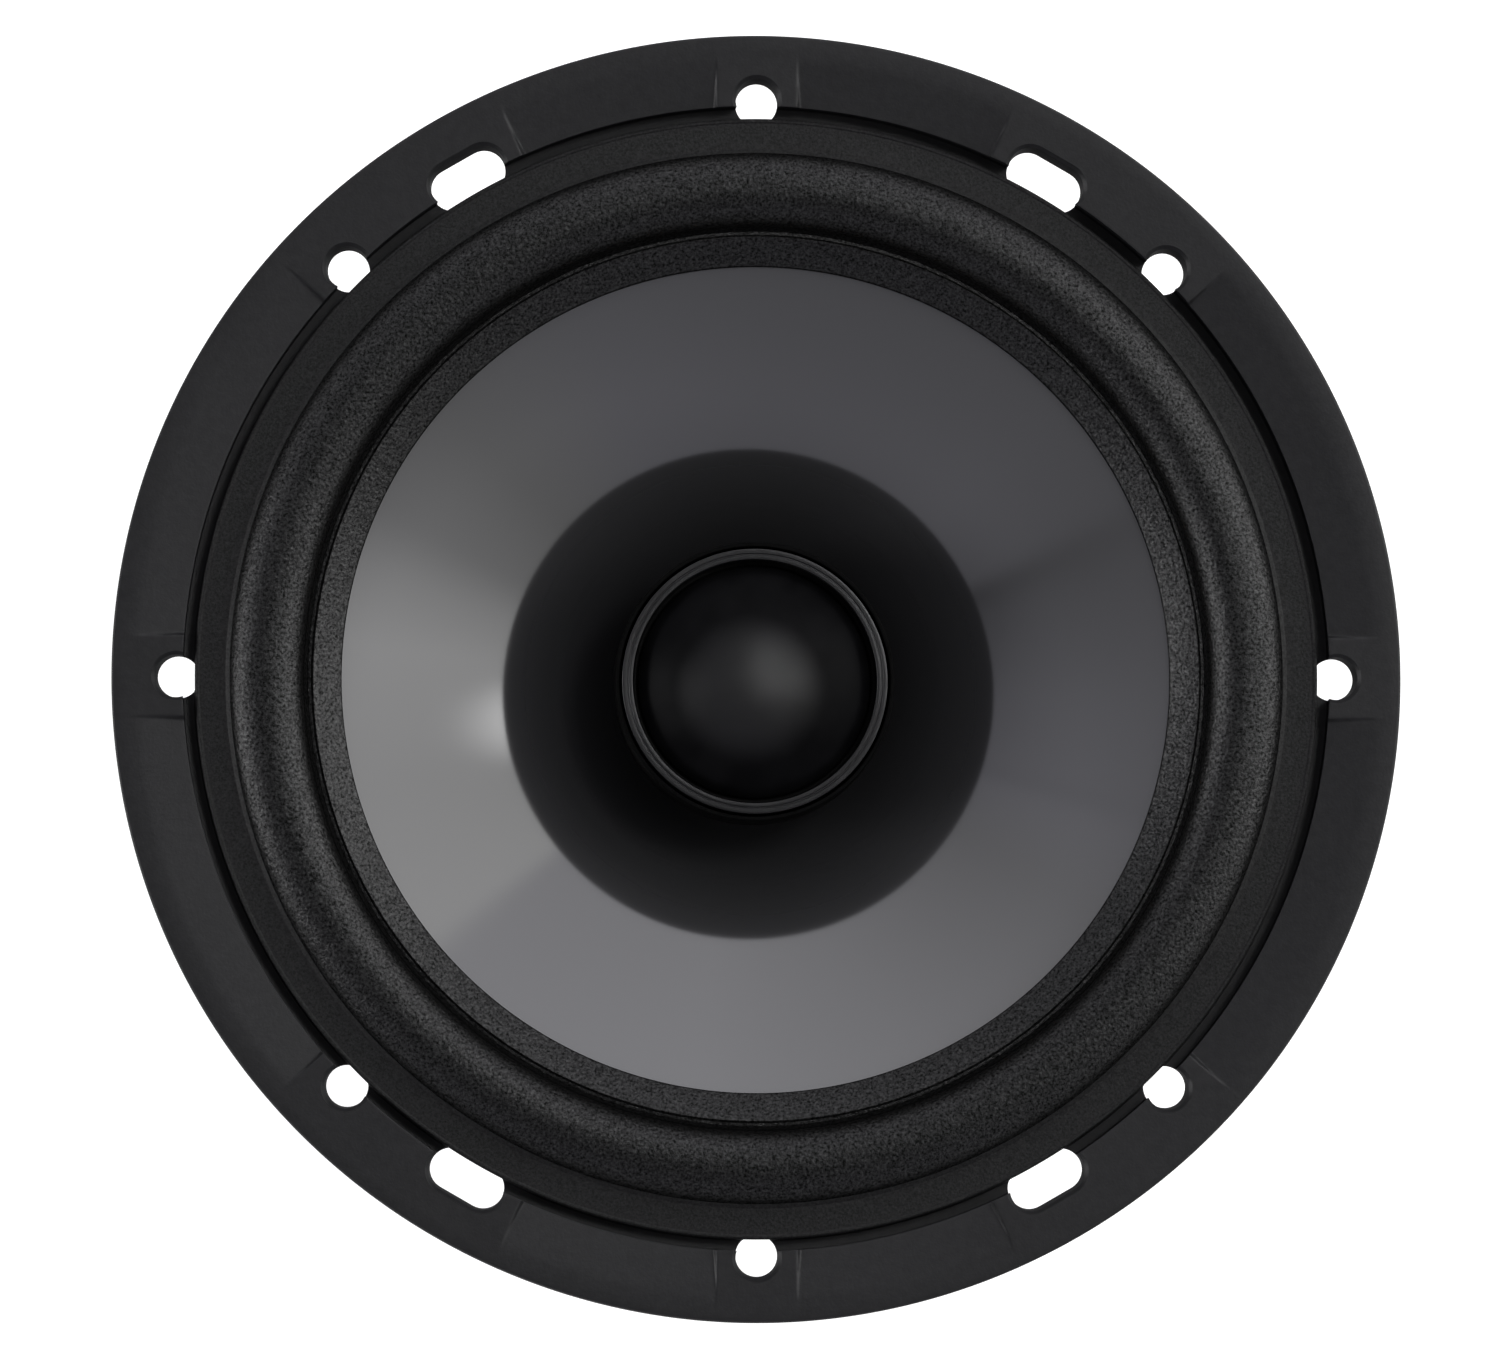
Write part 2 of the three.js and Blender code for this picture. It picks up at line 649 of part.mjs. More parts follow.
const tabFoot = BOARD_TOP + GAP;
for (const { name, x, width } of TABS) {
  const foot = box(
    width,
    TAB.to - TAB.from,
    TAB.thickness,
    x,
    (TAB.from + TAB.to) / 2,
    tabFoot + TAB.thickness / 2,
  );
  const blade = box(
    width,
    TAB.thickness,
    TAB.height,
    x,
    TAB.to - TAB.thickness / 2,
    tabFoot + TAB.height / 2,
  );
  addPart(name, join(foot, blade), BRASS, boardFrame);
}

RIVET.ys.forEach((y, i) => {
  const back = -ARM.thickness - GAP;
  const front = BOARD_TOP + GAP;
  const rivet = turned(
    [
      [0, back - RIVET.headHeight],
      [RIVET.head, back - RIVET.headHeight],
      [RIVET.head, back],
      [RIVET.shank, back],
      [RIVET.shank, front],
      [RIVET.head, front],
      [RIVET.head, front + RIVET.headHeight],
      [0, front + RIVET.headHeight],
    ],
    STEPS.tiny,
  );
  addPart(`board_rivet_${i + 1}`, rivet, PLATED, boardFrame).position.set(RIVET.x, y, 0);
});

function capacitor() {
  const can = new THREE.CylinderGeometry(CAPACITOR.r, CAPACITOR.r, CAPACITOR.length, 16);
  const length = CAPACITOR.length + 2 * CAPACITOR.wireRun;
  const wires = new THREE.CylinderGeometry(CAPACITOR.wire, CAPACITOR.wire, length, 8);
  return join(toSolid(can.rotateZ(Math.PI / 2)), toSolid(wires.rotateZ(Math.PI / 2)));
}
addPart('capacitor', capacitor(), CAPACITOR_BLUE, boardFrame).position.set(
  0,
  CAPACITOR.y,
  BOARD_TOP + GAP + CAPACITOR.r,
);

// The tweeter's leads: down the hollow post, back through the notch, and up to the tabs.
const LEAD = { x: 0.75, rearZ: 1.5, sideY: -46.4, top: 50.5, spreadFrom: 14, spreadTo: 28, bend: 3 };
const LEADS = [
  { name: 'tweeter_lead_positive', tab: TABS[0].x, side: 1, finish: RED_WIRE },
  { name: 'tweeter_lead_negative', tab: TABS[1].x, side: -1, finish: BLACK_WIRE },
];
for (const { name, tab, side, finish } of LEADS) {
  const x = side * LEAD.x;
  const route = [
    new THREE.Vector3(x, 0, LEAD.top),
    new THREE.Vector3(x, 0, LEAD.rearZ),
    new THREE.Vector3(x, LEAD.sideY, LEAD.rearZ),
    new THREE.Vector3(x, LEAD.sideY, LEAD.spreadFrom),
    new THREE.Vector3(0.86 * tab, LEAD.sideY - 0.6, LEAD.spreadTo),
    onBoard(tab, -BOARD.height / 2 - 1.5, BOARD_TOP + 1.4),
    onBoard(tab, TAB.from - GAP - 0.2, BOARD_TOP + 1.1),
  ];
  addPart(name, wire(route, LEAD_R, LEAD.bend, 46), finish);
}

// Slack braids from the board to the underside of the cone.
const TINSEL = { boardX: 12.5, coneX: 9, coneR: 26.1, coneZ: 46.2 };
for (const [name, side] of [['tinsel_lead_positive', 1], ['tinsel_lead_negative', -1]]) {
  const end = new THREE.Vector3(
    side * TINSEL.coneX,
    -Math.sqrt(TINSEL.coneR ** 2 - TINSEL.coneX ** 2),
    TINSEL.coneZ,
  );
  const intoCone = new THREE.Vector3(0, 0.5, 0.87).multiplyScalar(3);
  const route = [
    onBoard(side * TINSEL.boardX, -BOARD.height / 2 - 1.4, BOARD.gap + BOARD.thickness / 2),
    new THREE.Vector3(side * 12.3, -49, 38.2),
    new THREE.Vector3(side * 11.8, -44.5, 41.4),
    new THREE.Vector3(side * 10.6, -34, 41.6),
    end.clone().sub(intoCone),
    end,
  ];
  addPart(name, wire(route, TINSEL_R, 4, 14), SILVER_BRAID);
}

export default speaker;
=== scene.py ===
"""The looks of a 165 mm coaxial car speaker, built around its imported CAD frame.

Lengths in this file are millimetres until mesh_from() turns them into metres. +Z is the speaker's
axis and points at the listener. Outlines are [r, z] points, and most pieces are turned about Z.
"""
import math

import bmesh
import bpy
import numpy as np
from mathutils import Matrix, Vector


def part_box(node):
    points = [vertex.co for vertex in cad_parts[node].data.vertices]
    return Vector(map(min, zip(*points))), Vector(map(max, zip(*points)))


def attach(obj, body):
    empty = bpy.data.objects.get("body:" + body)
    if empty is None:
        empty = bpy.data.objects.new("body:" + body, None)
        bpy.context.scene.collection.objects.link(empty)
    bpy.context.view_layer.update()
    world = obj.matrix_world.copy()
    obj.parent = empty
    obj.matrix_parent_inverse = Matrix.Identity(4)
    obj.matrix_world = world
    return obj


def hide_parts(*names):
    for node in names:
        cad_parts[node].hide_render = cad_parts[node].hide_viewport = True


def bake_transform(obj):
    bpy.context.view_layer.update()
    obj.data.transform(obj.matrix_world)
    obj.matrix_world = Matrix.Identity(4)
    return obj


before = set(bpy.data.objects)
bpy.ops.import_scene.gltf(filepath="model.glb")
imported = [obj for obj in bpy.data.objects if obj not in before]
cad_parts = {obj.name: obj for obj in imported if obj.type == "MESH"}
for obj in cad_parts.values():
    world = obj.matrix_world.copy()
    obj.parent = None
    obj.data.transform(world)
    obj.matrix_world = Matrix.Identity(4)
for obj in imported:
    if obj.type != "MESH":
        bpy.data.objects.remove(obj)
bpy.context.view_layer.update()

MM = 0.001


# ------------------------------------------------------------------ sizes read from the frame


def span(node):
    """A CAD node's outer radius (along X), lowest z and highest z, in millimetres."""
    low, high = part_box(node)
    return high.x / MM, low.z / MM, high.z / MM


FLANGE_R, BASE_Z, FRONT_Z = span("basket")
LIP_R, _, CREST_Z = span("surround")
GASKET_R, GASKET_LOW, GASKET_HIGH = span("surround_gasket")
CONE_R, CONE_LOW, _ = span("cone")
SPIDER_R, SPIDER_LOW, SPIDER_HIGH = span("spider")
FORMER_R, FORMER_LOW, FORMER_HIGH = span("voice_coil_former")
WINDING_R, WINDING_LOW, WINDING_HIGH = span("voice_coil_winding")
YOKE_R, YOKE_LOW, POLE_TOP = span("pole_yoke")
FERRITE_R, FERRITE_LOW, FERRITE_HIGH = span("ferrite_magnet")
PLATE_R, PLATE_LOW, PLATE_HIGH = span("top_plate")
BOOT_R, BOOT_LOW, BOOT_HIGH = span("magnet_boot")
POST_R, POST_LOW, POST_TOP = span("tweeter_post")
CUP_R, CUP_LOW, CUP_HIGH = span("tweeter_cup")
_, RING_LOW, RING_HIGH = span("tweeter_trim_ring")
DOME_R, DOME_BASE, DOME_TOP = span("tweeter_dome")
POT_R, POT_LOW, POT_HIGH = span("tweeter_pot")

FLANGE_THICKNESS = 4.0
MOUNT_Z = FRONT_Z - FLANGE_THICKNESS
LANDING_R = 73.85
LANDING_INNER_R = 66.5
LANDING_Z = 65.5
GAP_FLOOR_Z = 64.5
WALL_OUTER, WALL_INNER, WALL_LOW = 70.0, 67.0, 56.0
POCKET_OUTER_R, POCKET_DEPTH, POCKET_DRAFT = 80.0, 0.6, 1.5
PAD_HALF = 5.2
RIM_ROUND = 0.35
PAD_FROM, PAD_TO = 41.1, 65.8
HOLE_CIRCLE_R, HOLE_R, HOLE_LEAN = 74.7, 2.7, 0.36
SLOT_ANGLES, SLOT_HALF_RUN = (60, 120, 240, 300), 2.4
SLOT_R = 2.7

ROLL_INNER, ROLL_OUTER, ROLL_BASE = 57.2, 67.7, 66.2
ROLL_MIDDLE = 62.8
STRIP_INNER = 53.4
CONE_SLOPE = math.radians(30)
CONE_NECK_R = 13.15
CONE_TOP_Z = 40.2
SKIN = 0.8
# The hole through the pieces that the tweeter's post clamps.
BORE_R = 4.3

ARM_SLOPE = math.radians(43)
ARM_R, ARM_Z, ARM_THICKNESS, ARM_HALF = 57.5, 43.5, 3.5, 5.5
SHELF_TOP, SHELF_INNER, SHELF_OUTER = 36.9, 37.0, 45.0
CUP_RING_INNER, CUP_RING_OUTER, CUP_RING_THICKNESS = 26.0, 44.0, 2.0
BOARD_GAP, BOARD_THICKNESS = 0.3, 1.6
BOARD_WIDTH, BOARD_HEIGHT = 32.0, 22.0
BOARD_TOP = BOARD_GAP + BOARD_THICKNESS


# ------------------------------------------------------------------ node trees


class Tree:
    """A shader node tree, with short ways to add and link nodes."""

    def __init__(self, tree):
        self.tree = tree

    def link(self, source, target):
        self.tree.links.new(source, target)

    def add(self, kind, inputs=None, **settings):
        """A new node whose inputs are given as values, or as outputs of other nodes."""
        node = self.tree.nodes.new(kind)
        for key, value in settings.items():
            setattr(node, key, value)
        for key, value in (inputs or {}).items():
            if isinstance(value, bpy.types.NodeSocket):
                self.link(value, node.inputs[key])
            else:
                node.inputs[key].default_value = value
        return node

    def maths(self, operation, *values):
        return self.add("ShaderNodeMath", dict(enumerate(values)), operation=operation).outputs["Value"]

    def vector(self, operation, output="Vector", **inputs):
        """Vector maths on the inputs a and b, or on a and Scale."""
        places = {{"a": 0, "b": 1}.get(key, key): value for key, value in inputs.items()}
        return self.add("ShaderNodeVectorMath", places, operation=operation).outputs[output]

    def range(self, value, low, high, start=0.0, stop=1.0, kind="LINEAR"):
        spans = {"From Min": start, "From Max": stop, "To Min": low, "To Max": high}
        node = self.add("ShaderNodeMapRange", {"Value": value, **spans}, interpolation_type=kind)
        return node.outputs["Result"]

    def gradient(self, value, stops):
        """A colour ramp through stops of a position and a colour or grey."""
        node = self.add("ShaderNodeValToRGB", {"Fac": value})
        elements = node.color_ramp.elements
        while len(elements) < len(stops):
            elements.new(0.5)
        for element, (position, level) in zip(elements, stops):
            element.position = position
            element.color = (*level, 1) if hasattr(level, "__len__") else (level, level, level, 1)
        return node.outputs["Color"]


# ------------------------------------------------------------------ camera, lights and floor

# In metres. The camera stands far off, a little below and left of the speaker's axis.
CAMERA_DISTANCE = 1.800
CAMERA_FOOT = (-0.065, -0.126)
AIM = (-0.00091, -0.00065)
FRAME_WIDTH = 0.19297
SENSOR_WIDTH = 36.0


def add_camera():
    data = bpy.data.cameras.new("camera")
    camera = bpy.data.objects.new("camera", data)
    bpy.context.scene.collection.objects.link(camera)
    front = FRONT_Z * MM
    camera.location = (CAMERA_FOOT[0], CAMERA_FOOT[1], front + CAMERA_DISTANCE)
    target = Vector((AIM[0], AIM[1], front))
    toward = (target - camera.location).normalized()
    right = toward.cross(Vector((0, 1, 0))).normalized()
    up = right.cross(toward)
    camera.rotation_euler = Matrix((right, up, -toward)).transposed().to_euler()
    data.sensor_width = SENSOR_WIDTH
    data.lens = SENSOR_WIDTH * (target - camera.location).length / FRAME_WIDTH
    data.clip_start = 0.01
    data.clip_end = 20
    bpy.context.scene.camera = camera


# The studio's soft light by direction. Each stop is an azimuth in degrees from +X and a radiance:
# a broad bank on the right, one over the top, and a weak one low on the left.
NEUTRAL, COOL = (1.0, 1.0, 1.0), (0.975, 0.965, 1.09)
FAINTLY_COOL = (0.99, 0.985, 1.04)
LIGHT_RING = (
    (-180, 0.75, COOL),
    (-168, 0.52, COOL),
    (-161, 0.28, COOL),
    (-157, 0.72, COOL),
    (-140, 0.90, COOL),
    (-90, 0.92, COOL),
    (-60, 1.02, COOL),
    (-35, 1.15, NEUTRAL),
    (-18, 1.75, NEUTRAL),
    (-10, 3.00, NEUTRAL),
    (0, 3.95, NEUTRAL),
    (20, 3.50, NEUTRAL),
    (41, 3.85, NEUTRAL),
    (44, 2.75, FAINTLY_COOL),
    (80, 2.90, FAINTLY_COOL),
    (105, 2.35, FAINTLY_COOL),
    (125, 1.75, FAINTLY_COOL),
    (140, 1.30, FAINTLY_COOL),
    (153, 1.25, COOL),
    (155, 0.95, COOL),
    (157, 1.10, COOL),
    (172, 0.95, COOL),
    (180, 0.75, COOL),
)
# How the ring of light fades from the horizon (0) to straight overhead (1, the sine of the elevation).
LIGHT_BAND = ((0.30, 0.05), (0.40, 1.0), (0.63, 1.0), (0.76, 0.14), (1.0, 0.0))
# The even light under it: bright below the horizon's haze, weak above.
HORIZON, OVERHEAD = 0.90, 0.10
FILL_BAND = ((0.10, HORIZON), (0.16, OVERHEAD), (1.0, OVERHEAD))
# Smaller soft boxes: azimuth, angle from straight overhead, half width, soft edge (degrees), radiance.
SOFT_BOXES = (
    (34, 27, 3, 6, 22.0, NEUTRAL),
    (160, 20, 2, 6, 0.8, COOL),
    (182, 71, 6, 8, 18.0, NEUTRAL),
    (12, 71, 7, 8, 8.0, NEUTRAL),
)


def soft_box(sky, direction, azimuth, off_axis, half, soft, level, tint):
    """A round patch of light in the sky, bright inside half degrees and gone past half + soft."""
    a, t = math.radians(azimuth), math.radians(off_axis)
    middle = (math.sin(t) * math.cos(a), math.sin(t) * math.sin(a), math.cos(t))
    near, far = math.cos(math.radians(half)), math.cos(math.radians(half + soft))
    towards = sky.vector("DOT_PRODUCT", "Value", a=direction, b=middle)
    return sky.vector("SCALE", a=tint, Scale=sky.range(towards, 0, level, far, near, "SMOOTHSTEP"))


def add_lights():
    world = bpy.data.worlds.new("studio")
    world.use_nodes = True
    sky = Tree(world.node_tree)
    direction = sky.add("ShaderNodeTexCoord").outputs["Generated"]
    axes = sky.add("ShaderNodeSeparateXYZ", {"Vector": direction}).outputs
    around = sky.range(sky.maths("ARCTAN2", axes["Y"], axes["X"]), 0, 1, -math.pi, math.pi)
    brightest = max(level for _, level, _ in LIGHT_RING)
    stops = []
    for degrees, level, tint in LIGHT_RING:
        stops.append(((degrees + 180) / 360, tuple(level / brightest * c for c in tint)))
    lit = sky.vector("MULTIPLY", a=sky.gradient(around, stops), b=sky.gradient(axes["Z"], LIGHT_BAND))
    glow = sky.vector("SCALE", a=lit, Scale=brightest)
    glow = sky.vector("ADD", a=glow, b=sky.gradient(axes["Z"], FILL_BAND))
    for box in SOFT_BOXES:
        glow = sky.vector("ADD", a=glow, b=soft_box(sky, direction, *box))
    sky.link(glow, sky.tree.nodes["Background"].inputs["Color"])
    bpy.context.scene.world = world
    bpy.context.scene.view_settings.view_transform = "Standard"


# A plain white floor that lies a hair below the boot, so the two don't touch.
FLOOR_HALF, FLOOR_Z = 3000.0, -0.15
FLOOR_GREY, FLOOR_GLOW = 0.36, 0.86


def add_floor():
    half, z = FLOOR_HALF * MM, FLOOR_Z * MM
    mesh = bpy.data.meshes.new("floor")
    corners = [(-half, -half, z), (half, -half, z), (half, half, z), (-half, half, z)]
    mesh.from_pydata(corners, [], [(0, 1, 2, 3)])
    floor = bpy.data.objects.new("floor", mesh)
    bpy.context.scene.collection.objects.link(floor)
    shade = bpy.data.materials.new("floor_paper")
    shade.use_nodes = True
    shader = shade.node_tree.nodes["Principled BSDF"]
    shader.inputs["Base Color"].default_value = (FLOOR_GREY, FLOOR_GREY, FLOOR_GREY, 1)
    shader.inputs["Roughness"].default_value = 0.9
    shader.inputs["Emission Color"].default_value = (1, 1, 1, 1)
    shader.inputs["Emission Strength"].default_value = FLOOR_GLOW
    mesh.materials.append(shade)


# ------------------------------------------------------------------ outlines


def fillet(corners, steps=4):
    """A closed outline from [r, z] or [r, z, radius] corners, with arcs at the rounded ones."""
    points = []
    count = len(corners)
    for i, corner in enumerate(corners):
        here = np.array(corner[:2], float)
        radius = corner[2] if len(corner) > 2 else 0
        if not radius:
            points.append(here)
            continue
        back = np.array(corners[i - 1][:2], float) - here
        ahead = np.array(corners[(i + 1) % count][:2], float) - here
        back_length, ahead_length = np.linalg.norm(back), np.linalg.norm(ahead)
        back, ahead = back / back_length, ahead / ahead_length
        if np.linalg.norm(back + ahead) < 1e-4:
            points.append(here)
            continue
        half = 0.5 * math.acos(float(np.clip(back @ ahead, -1, 1)))
        reach = min(radius / math.tan(half), 0.49 * back_length, 0.49 * ahead_length)
        centre = here + (back + ahead) / np.linalg.norm(back + ahead) * reach / math.cos(half)
        start, end = here + back * reach - centre, here + ahead * reach - centre
        turn = math.pi - 2 * half
        for k in range(steps + 1):
            t = k / steps
            arm = (math.sin((1 - t) * turn) * start + math.sin(t * turn) * end) / math.sin(turn)
            points.append(centre + arm)
    return [tuple(p) for p in points]


def arc(centre, radii, start, stop, steps):
    """Points along an ellipse's arc, from start to stop degrees."""
    angles = np.radians(np.linspace(start, stop, steps + 1))
    return [(centre[0] + radii[0] * math.cos(a), centre[1] + radii[1] * math.sin(a)) for a in angles]


def cap(radius, base, rise, steps):
    """A spherical cap's outline from its rim to the axis."""
    sphere = (radius * radius + rise * rise) / (2 * rise)
    half = math.asin(radius / sphere)
    points = []
    for i in range(steps + 1):
        a = half * (1 - i / steps)
        points.append((sphere * math.sin(a) if i < steps else 0.0, base + rise - sphere * (1 - math.cos(a))))
    return points


# ------------------------------------------------------------------ meshes


def mesh_from(name, points, faces, crease=32):
    """An object from points in millimetres, smooth except where faces meet at over crease degrees."""
    mesh = bpy.data.meshes.new(name)
    mesh.from_pydata([tuple(p) for p in np.asarray(points, float) * MM], [], faces)
    obj = bpy.data.objects.new(name, mesh)
    bpy.context.scene.collection.objects.link(obj)
    tidy(obj, crease)
    return obj


def tidy(obj, crease=32):
    """Faces out, smooth shading, and sharp edges where the surface really turns."""
    form = bmesh.new()
    form.from_mesh(obj.data)
    bmesh.ops.recalc_face_normals(form, faces=form.faces)
    if form.calc_volume(signed=True) < 0:
        bmesh.ops.reverse_faces(form, faces=form.faces)
    form.to_mesh(obj.data)
    form.free()
    obj.data.shade_smooth()
    obj.data.set_sharp_from_angle(angle=math.radians(crease))


def ring_faces(rows, columns, closed_rows):
    """Quads over a grid that wraps along its columns, and along its rows where they close."""
    faces = []
    last = rows if closed_rows else rows - 1
    for i in range(last):
        for j in range(columns):
            a, b = i * columns + j, i * columns + (j + 1) % columns
            c, d = ((i + 1) % rows) * columns + (j + 1) % columns, ((i + 1) % rows) * columns + j
            faces.append((a, b, c, d))
    return faces


def turned(name, outline, sides, crease=32, shape=None):
    """A piece turned about Z. Its outline closes on itself, or starts and ends on the axis.

    shape(r, z, angles) may return other r and z for the points of one outline point.
    """
    angles = np.linspace(0, 2 * math.pi, sides, endpoint=False)
    on_axis = outline[0][0] == 0 and outline[-1][0] == 0
    body = outline[1:-1] if on_axis else outline
    rows = []
    for r, z in body:
        radii, heights = (np.full(sides, r), np.full(sides, z)) if shape is None else shape(r, z, angles)
        rows.append(np.stack([radii * np.cos(angles), radii * np.sin(angles), heights], axis=1))
    points = np.concatenate(rows)
    faces = ring_faces(len(rows), sides, not on_axis)
    if on_axis:
        first, last = len(points), len(points) + 1
        points = np.concatenate([points, [[0, 0, outline[0][1]], [0, 0, outline[-1][1]]]])
        end = (len(rows) - 1) * sides
        for j in range(sides):
            k = (j + 1) % sides
            faces.append((first, k, j))
            faces.append((last, end + j, end + k))
    return mesh_from(name, points, faces, crease)


def tube(inner, outer, low, high, inner_round, outer_round):
    """The corners of a plain ring, for lathed()."""
    return [
        (inner, low, inner_round),
        (outer, low, outer_round),
        (outer, high, outer_round),
        (inner, high, inner_round),
    ]


def lathed(name, corners, sides, steps=4):
    """A turned piece whose [r, z, radius] corners are rounded."""
    return turned(name, fillet(corners, steps), sides)


def swept(name, rows, crease=32):
    """A closed solid through rings of points that all have the same count."""
    columns = len(rows[0])
    points = np.concatenate([np.asarray(row, float) for row in rows])
    faces = ring_faces(len(rows), columns, False)
    faces.append(tuple(range(columns)))
    faces.append(tuple(range((len(rows) - 1) * columns, len(rows) * columns)))
    return mesh_from(name, points, faces, crease)


def rounded_rectangle(width, height, radius):
    x, y = width / 2, height / 2
    return fillet([(-x, -y, radius), (x, -y, radius), (x, y, radius), (-x, y, radius)], 5)


def slab(name, outline, low, high, edge):
    """A flat outline in XY thickened from low to high, with small chamfers all round."""
    flat = np.array(outline, float)
    centre = flat.mean(axis=0)
    reach = np.abs(flat - centre).max(axis=0)
    shrunk = centre + (flat - centre) * (1 - edge / reach)
    rows = []
    for ring, z in ((shrunk, low), (flat, low + edge), (flat, high - edge), (shrunk, high)):
        rows.append([(x, y, z) for x, y in ring])
    return swept(name, rows)


def eased_route(corners, bend, step=0.35):
    """Evenly spaced points along straight runs whose corners are eased by quadratic curves."""
    corners = [np.array(c, float) for c in corners]
    points = [corners[0]]
    for before, here, after in zip(corners, corners[1:], corners[2:]):
        back, ahead = before - here, after - here
        reach = min(bend, np.linalg.norm(back) / 2, np.linalg.norm(ahead) / 2)
        entry = here + back / np.linalg.norm(back) * reach
        leave = here + ahead / np.linalg.norm(ahead) * reach
        for t in np.linspace(0, 1, 9):
            points.append((1 - t) ** 2 * entry + 2 * t * (1 - t) * here + t * t * leave)
    points.append(corners[-1])
    points = np.array(points)
    along = np.concatenate([[0], np.cumsum(np.linalg.norm(np.diff(points, axis=0), axis=1))])
    keep = np.concatenate([[True], np.diff(along) > 1e-6])
    points, along = points[keep], along[keep]
    at = np.linspace(0, along[-1], max(3, int(along[-1] / step)))
    return np.stack([np.interp(at, along, points[:, k]) for k in range(3)], axis=1)


def wire(name, route, radius, sides, relief=None):
    """A round wire along a route. relief(turn, along) scales its radius, for braids and twists."""
    tangents = np.gradient(route, axis=0)
    tangents /= np.linalg.norm(tangents, axis=1)[:, None]
    side = np.cross(tangents[0], [0.31, 0.83, 0.47])
    rows = []
    length = 0.0
    turns = np.linspace(0, 2 * math.pi, sides, endpoint=False)
    for i, (centre, tangent) in enumerate(zip(route, tangents)):
        side = side - tangent * (side @ tangent)
        side /= np.linalg.norm(side)
        other = np.cross(tangent, side)
        if i:
            length += np.linalg.norm(route[i] - route[i - 1])
        scale = np.ones(sides) if relief is None else relief(turns, length)
        ring = np.cos(turns)[:, None] * side + np.sin(turns)[:, None] * other
        rows.append(centre + ring * (radius * scale)[:, None])
    return swept(name, rows, crease=60)


def cut_or_join(obj, others, operation):
    """obj with the others cut from it or joined to it; the others are used up."""
    group = bpy.data.collections.new("operands")
    for other in others:
        group.objects.link(other)
    step = obj.modifiers.new("boolean", "BOOLEAN")
    step.operation = operation
    step.solver = "MANIFOLD"
    step.operand_type = "COLLECTION"
    step.collection = group
    graph = bpy.context.evaluated_depsgraph_get()
    mesh = bpy.data.meshes.new_from_object(obj.evaluated_get(graph))
    obj.modifiers.clear()
    obj.data = mesh
    for other in others:
        bpy.data.objects.remove(other)
    bpy.data.collections.remove(group)
    tidy(obj)
    return obj


def joined(name, parts):
    """Separate solids that are one piece, such as a can and its wires, in one mesh."""
    for obj in bpy.context.selected_objects:
        obj.select_set(False)
    for part in parts:
        part.select_set(True)
    bpy.context.view_layer.objects.active = parts[0]
    bpy.ops.object.join()
    parts[0].name = name
    return parts[0]


def placed(obj, matrix):
    obj.data.transform(matrix)
    return obj


def moved(obj, x=0.0, y=0.0, z=0.0):
    return placed(obj, Matrix.Translation((x * MM, y * MM, z * MM)))


def about_axis(obj, degrees):
    return placed(obj, Matrix.Rotation(math.radians(degrees), 4, "Z"))


def at_polar(obj, r, degrees):
    """Moves a piece modelled at the origin to a place on a circle, its +X pointing outward."""
    return about_axis(moved(obj, r), degrees)


# ------------------------------------------------------------------ materials


class Nodes(Tree):
    """A material's node tree, with the textures that the materials share."""

    def __init__(self, name):
        self.material = bpy.data.materials.new(name)
        self.material.use_nodes = True
        super().__init__(self.material.node_tree)
        self.shader = self.tree.nodes["Principled BSDF"]
        self.where = self.add("ShaderNodeTexCoord").outputs["Object"]

    def stretched(self, scale):
        return self.add("ShaderNodeMapping", {"Scale": scale, "Vector": self.where}).outputs["Vector"]

    def noise(self, scale, detail=2.0, roughness=0.5, where=None):
        inputs = {"Scale": scale, "Detail": detail, "Roughness": roughness, "Vector": where or self.where}
        return self.add("ShaderNodeTexNoise", inputs).outputs["Fac"]

    def cells(self, scale):
        return self.add("ShaderNodeTexVoronoi", {"Scale": scale, "Vector": self.where}).outputs["Distance"]

    def waves(self, scale, direction):
        inputs = {"Scale": scale, "Distortion": 0.0, "Vector": self.where}
        node = self.add("ShaderNodeTexWave", inputs, wave_type="BANDS", bands_direction=direction)
        return node.outputs["Fac"]

    def rings(self, scale):
        """Fine rings about the Z axis, as a lathe leaves."""
        inputs = {"Scale": scale, "Distortion": 0.4, "Detail": 1.5, "Vector": self.where}
        node = self.add("ShaderNodeTexWave", inputs, wave_type="RINGS", rings_direction="Z")
        return node.outputs["Fac"]

    def distance(self):
        """How far a point lies from the Z axis, in metres."""
        return self.vector("LENGTH", "Value", a=self.stretched((1, 1, 0)))

    def ramp(self, value, low, high, start=0.35, stop=0.65):
        """low below start, high above stop, as colours or greys."""
        return self.gradient(value, ((start, low), (stop, high)))

    def slant_fade(self, full):
        """full where the surface is seen square on, and almost nothing where it is seen at a slant."""
        facing = self.add("ShaderNodeLayerWeight").outputs["Facing"]
        return self.range(facing, full, 0.012 * full, 0.30, 0.72)

    def colour(self, source):
        self.link(source, self.shader.inputs["Base Color"])

    def roughness(self, value, low, high):
        self.link(self.range(value, low, high), self.shader.inputs["Roughness"])

    def gloss(self, source):
        self.link(source, self.shader.inputs["Specular IOR Level"])

    def bump(self, height, depth, before=None):
        """Relief of the given depth in millimetres, over any relief from before."""
        inputs = {"Strength": 1.0, "Distance": depth * MM, "Height": height}
        if before is not None:
            inputs["Normal"] = before
        relief = self.add("ShaderNodeBump", inputs).outputs["Normal"]
        self.link(relief, self.shader.inputs["Normal"])
        return relief

    def set(self, **values):
        for key, value in values.items():
            self.shader.inputs[key.replace("_", " ")].default_value = value
        return self.material


def grey(level):
    return (level, level, level)


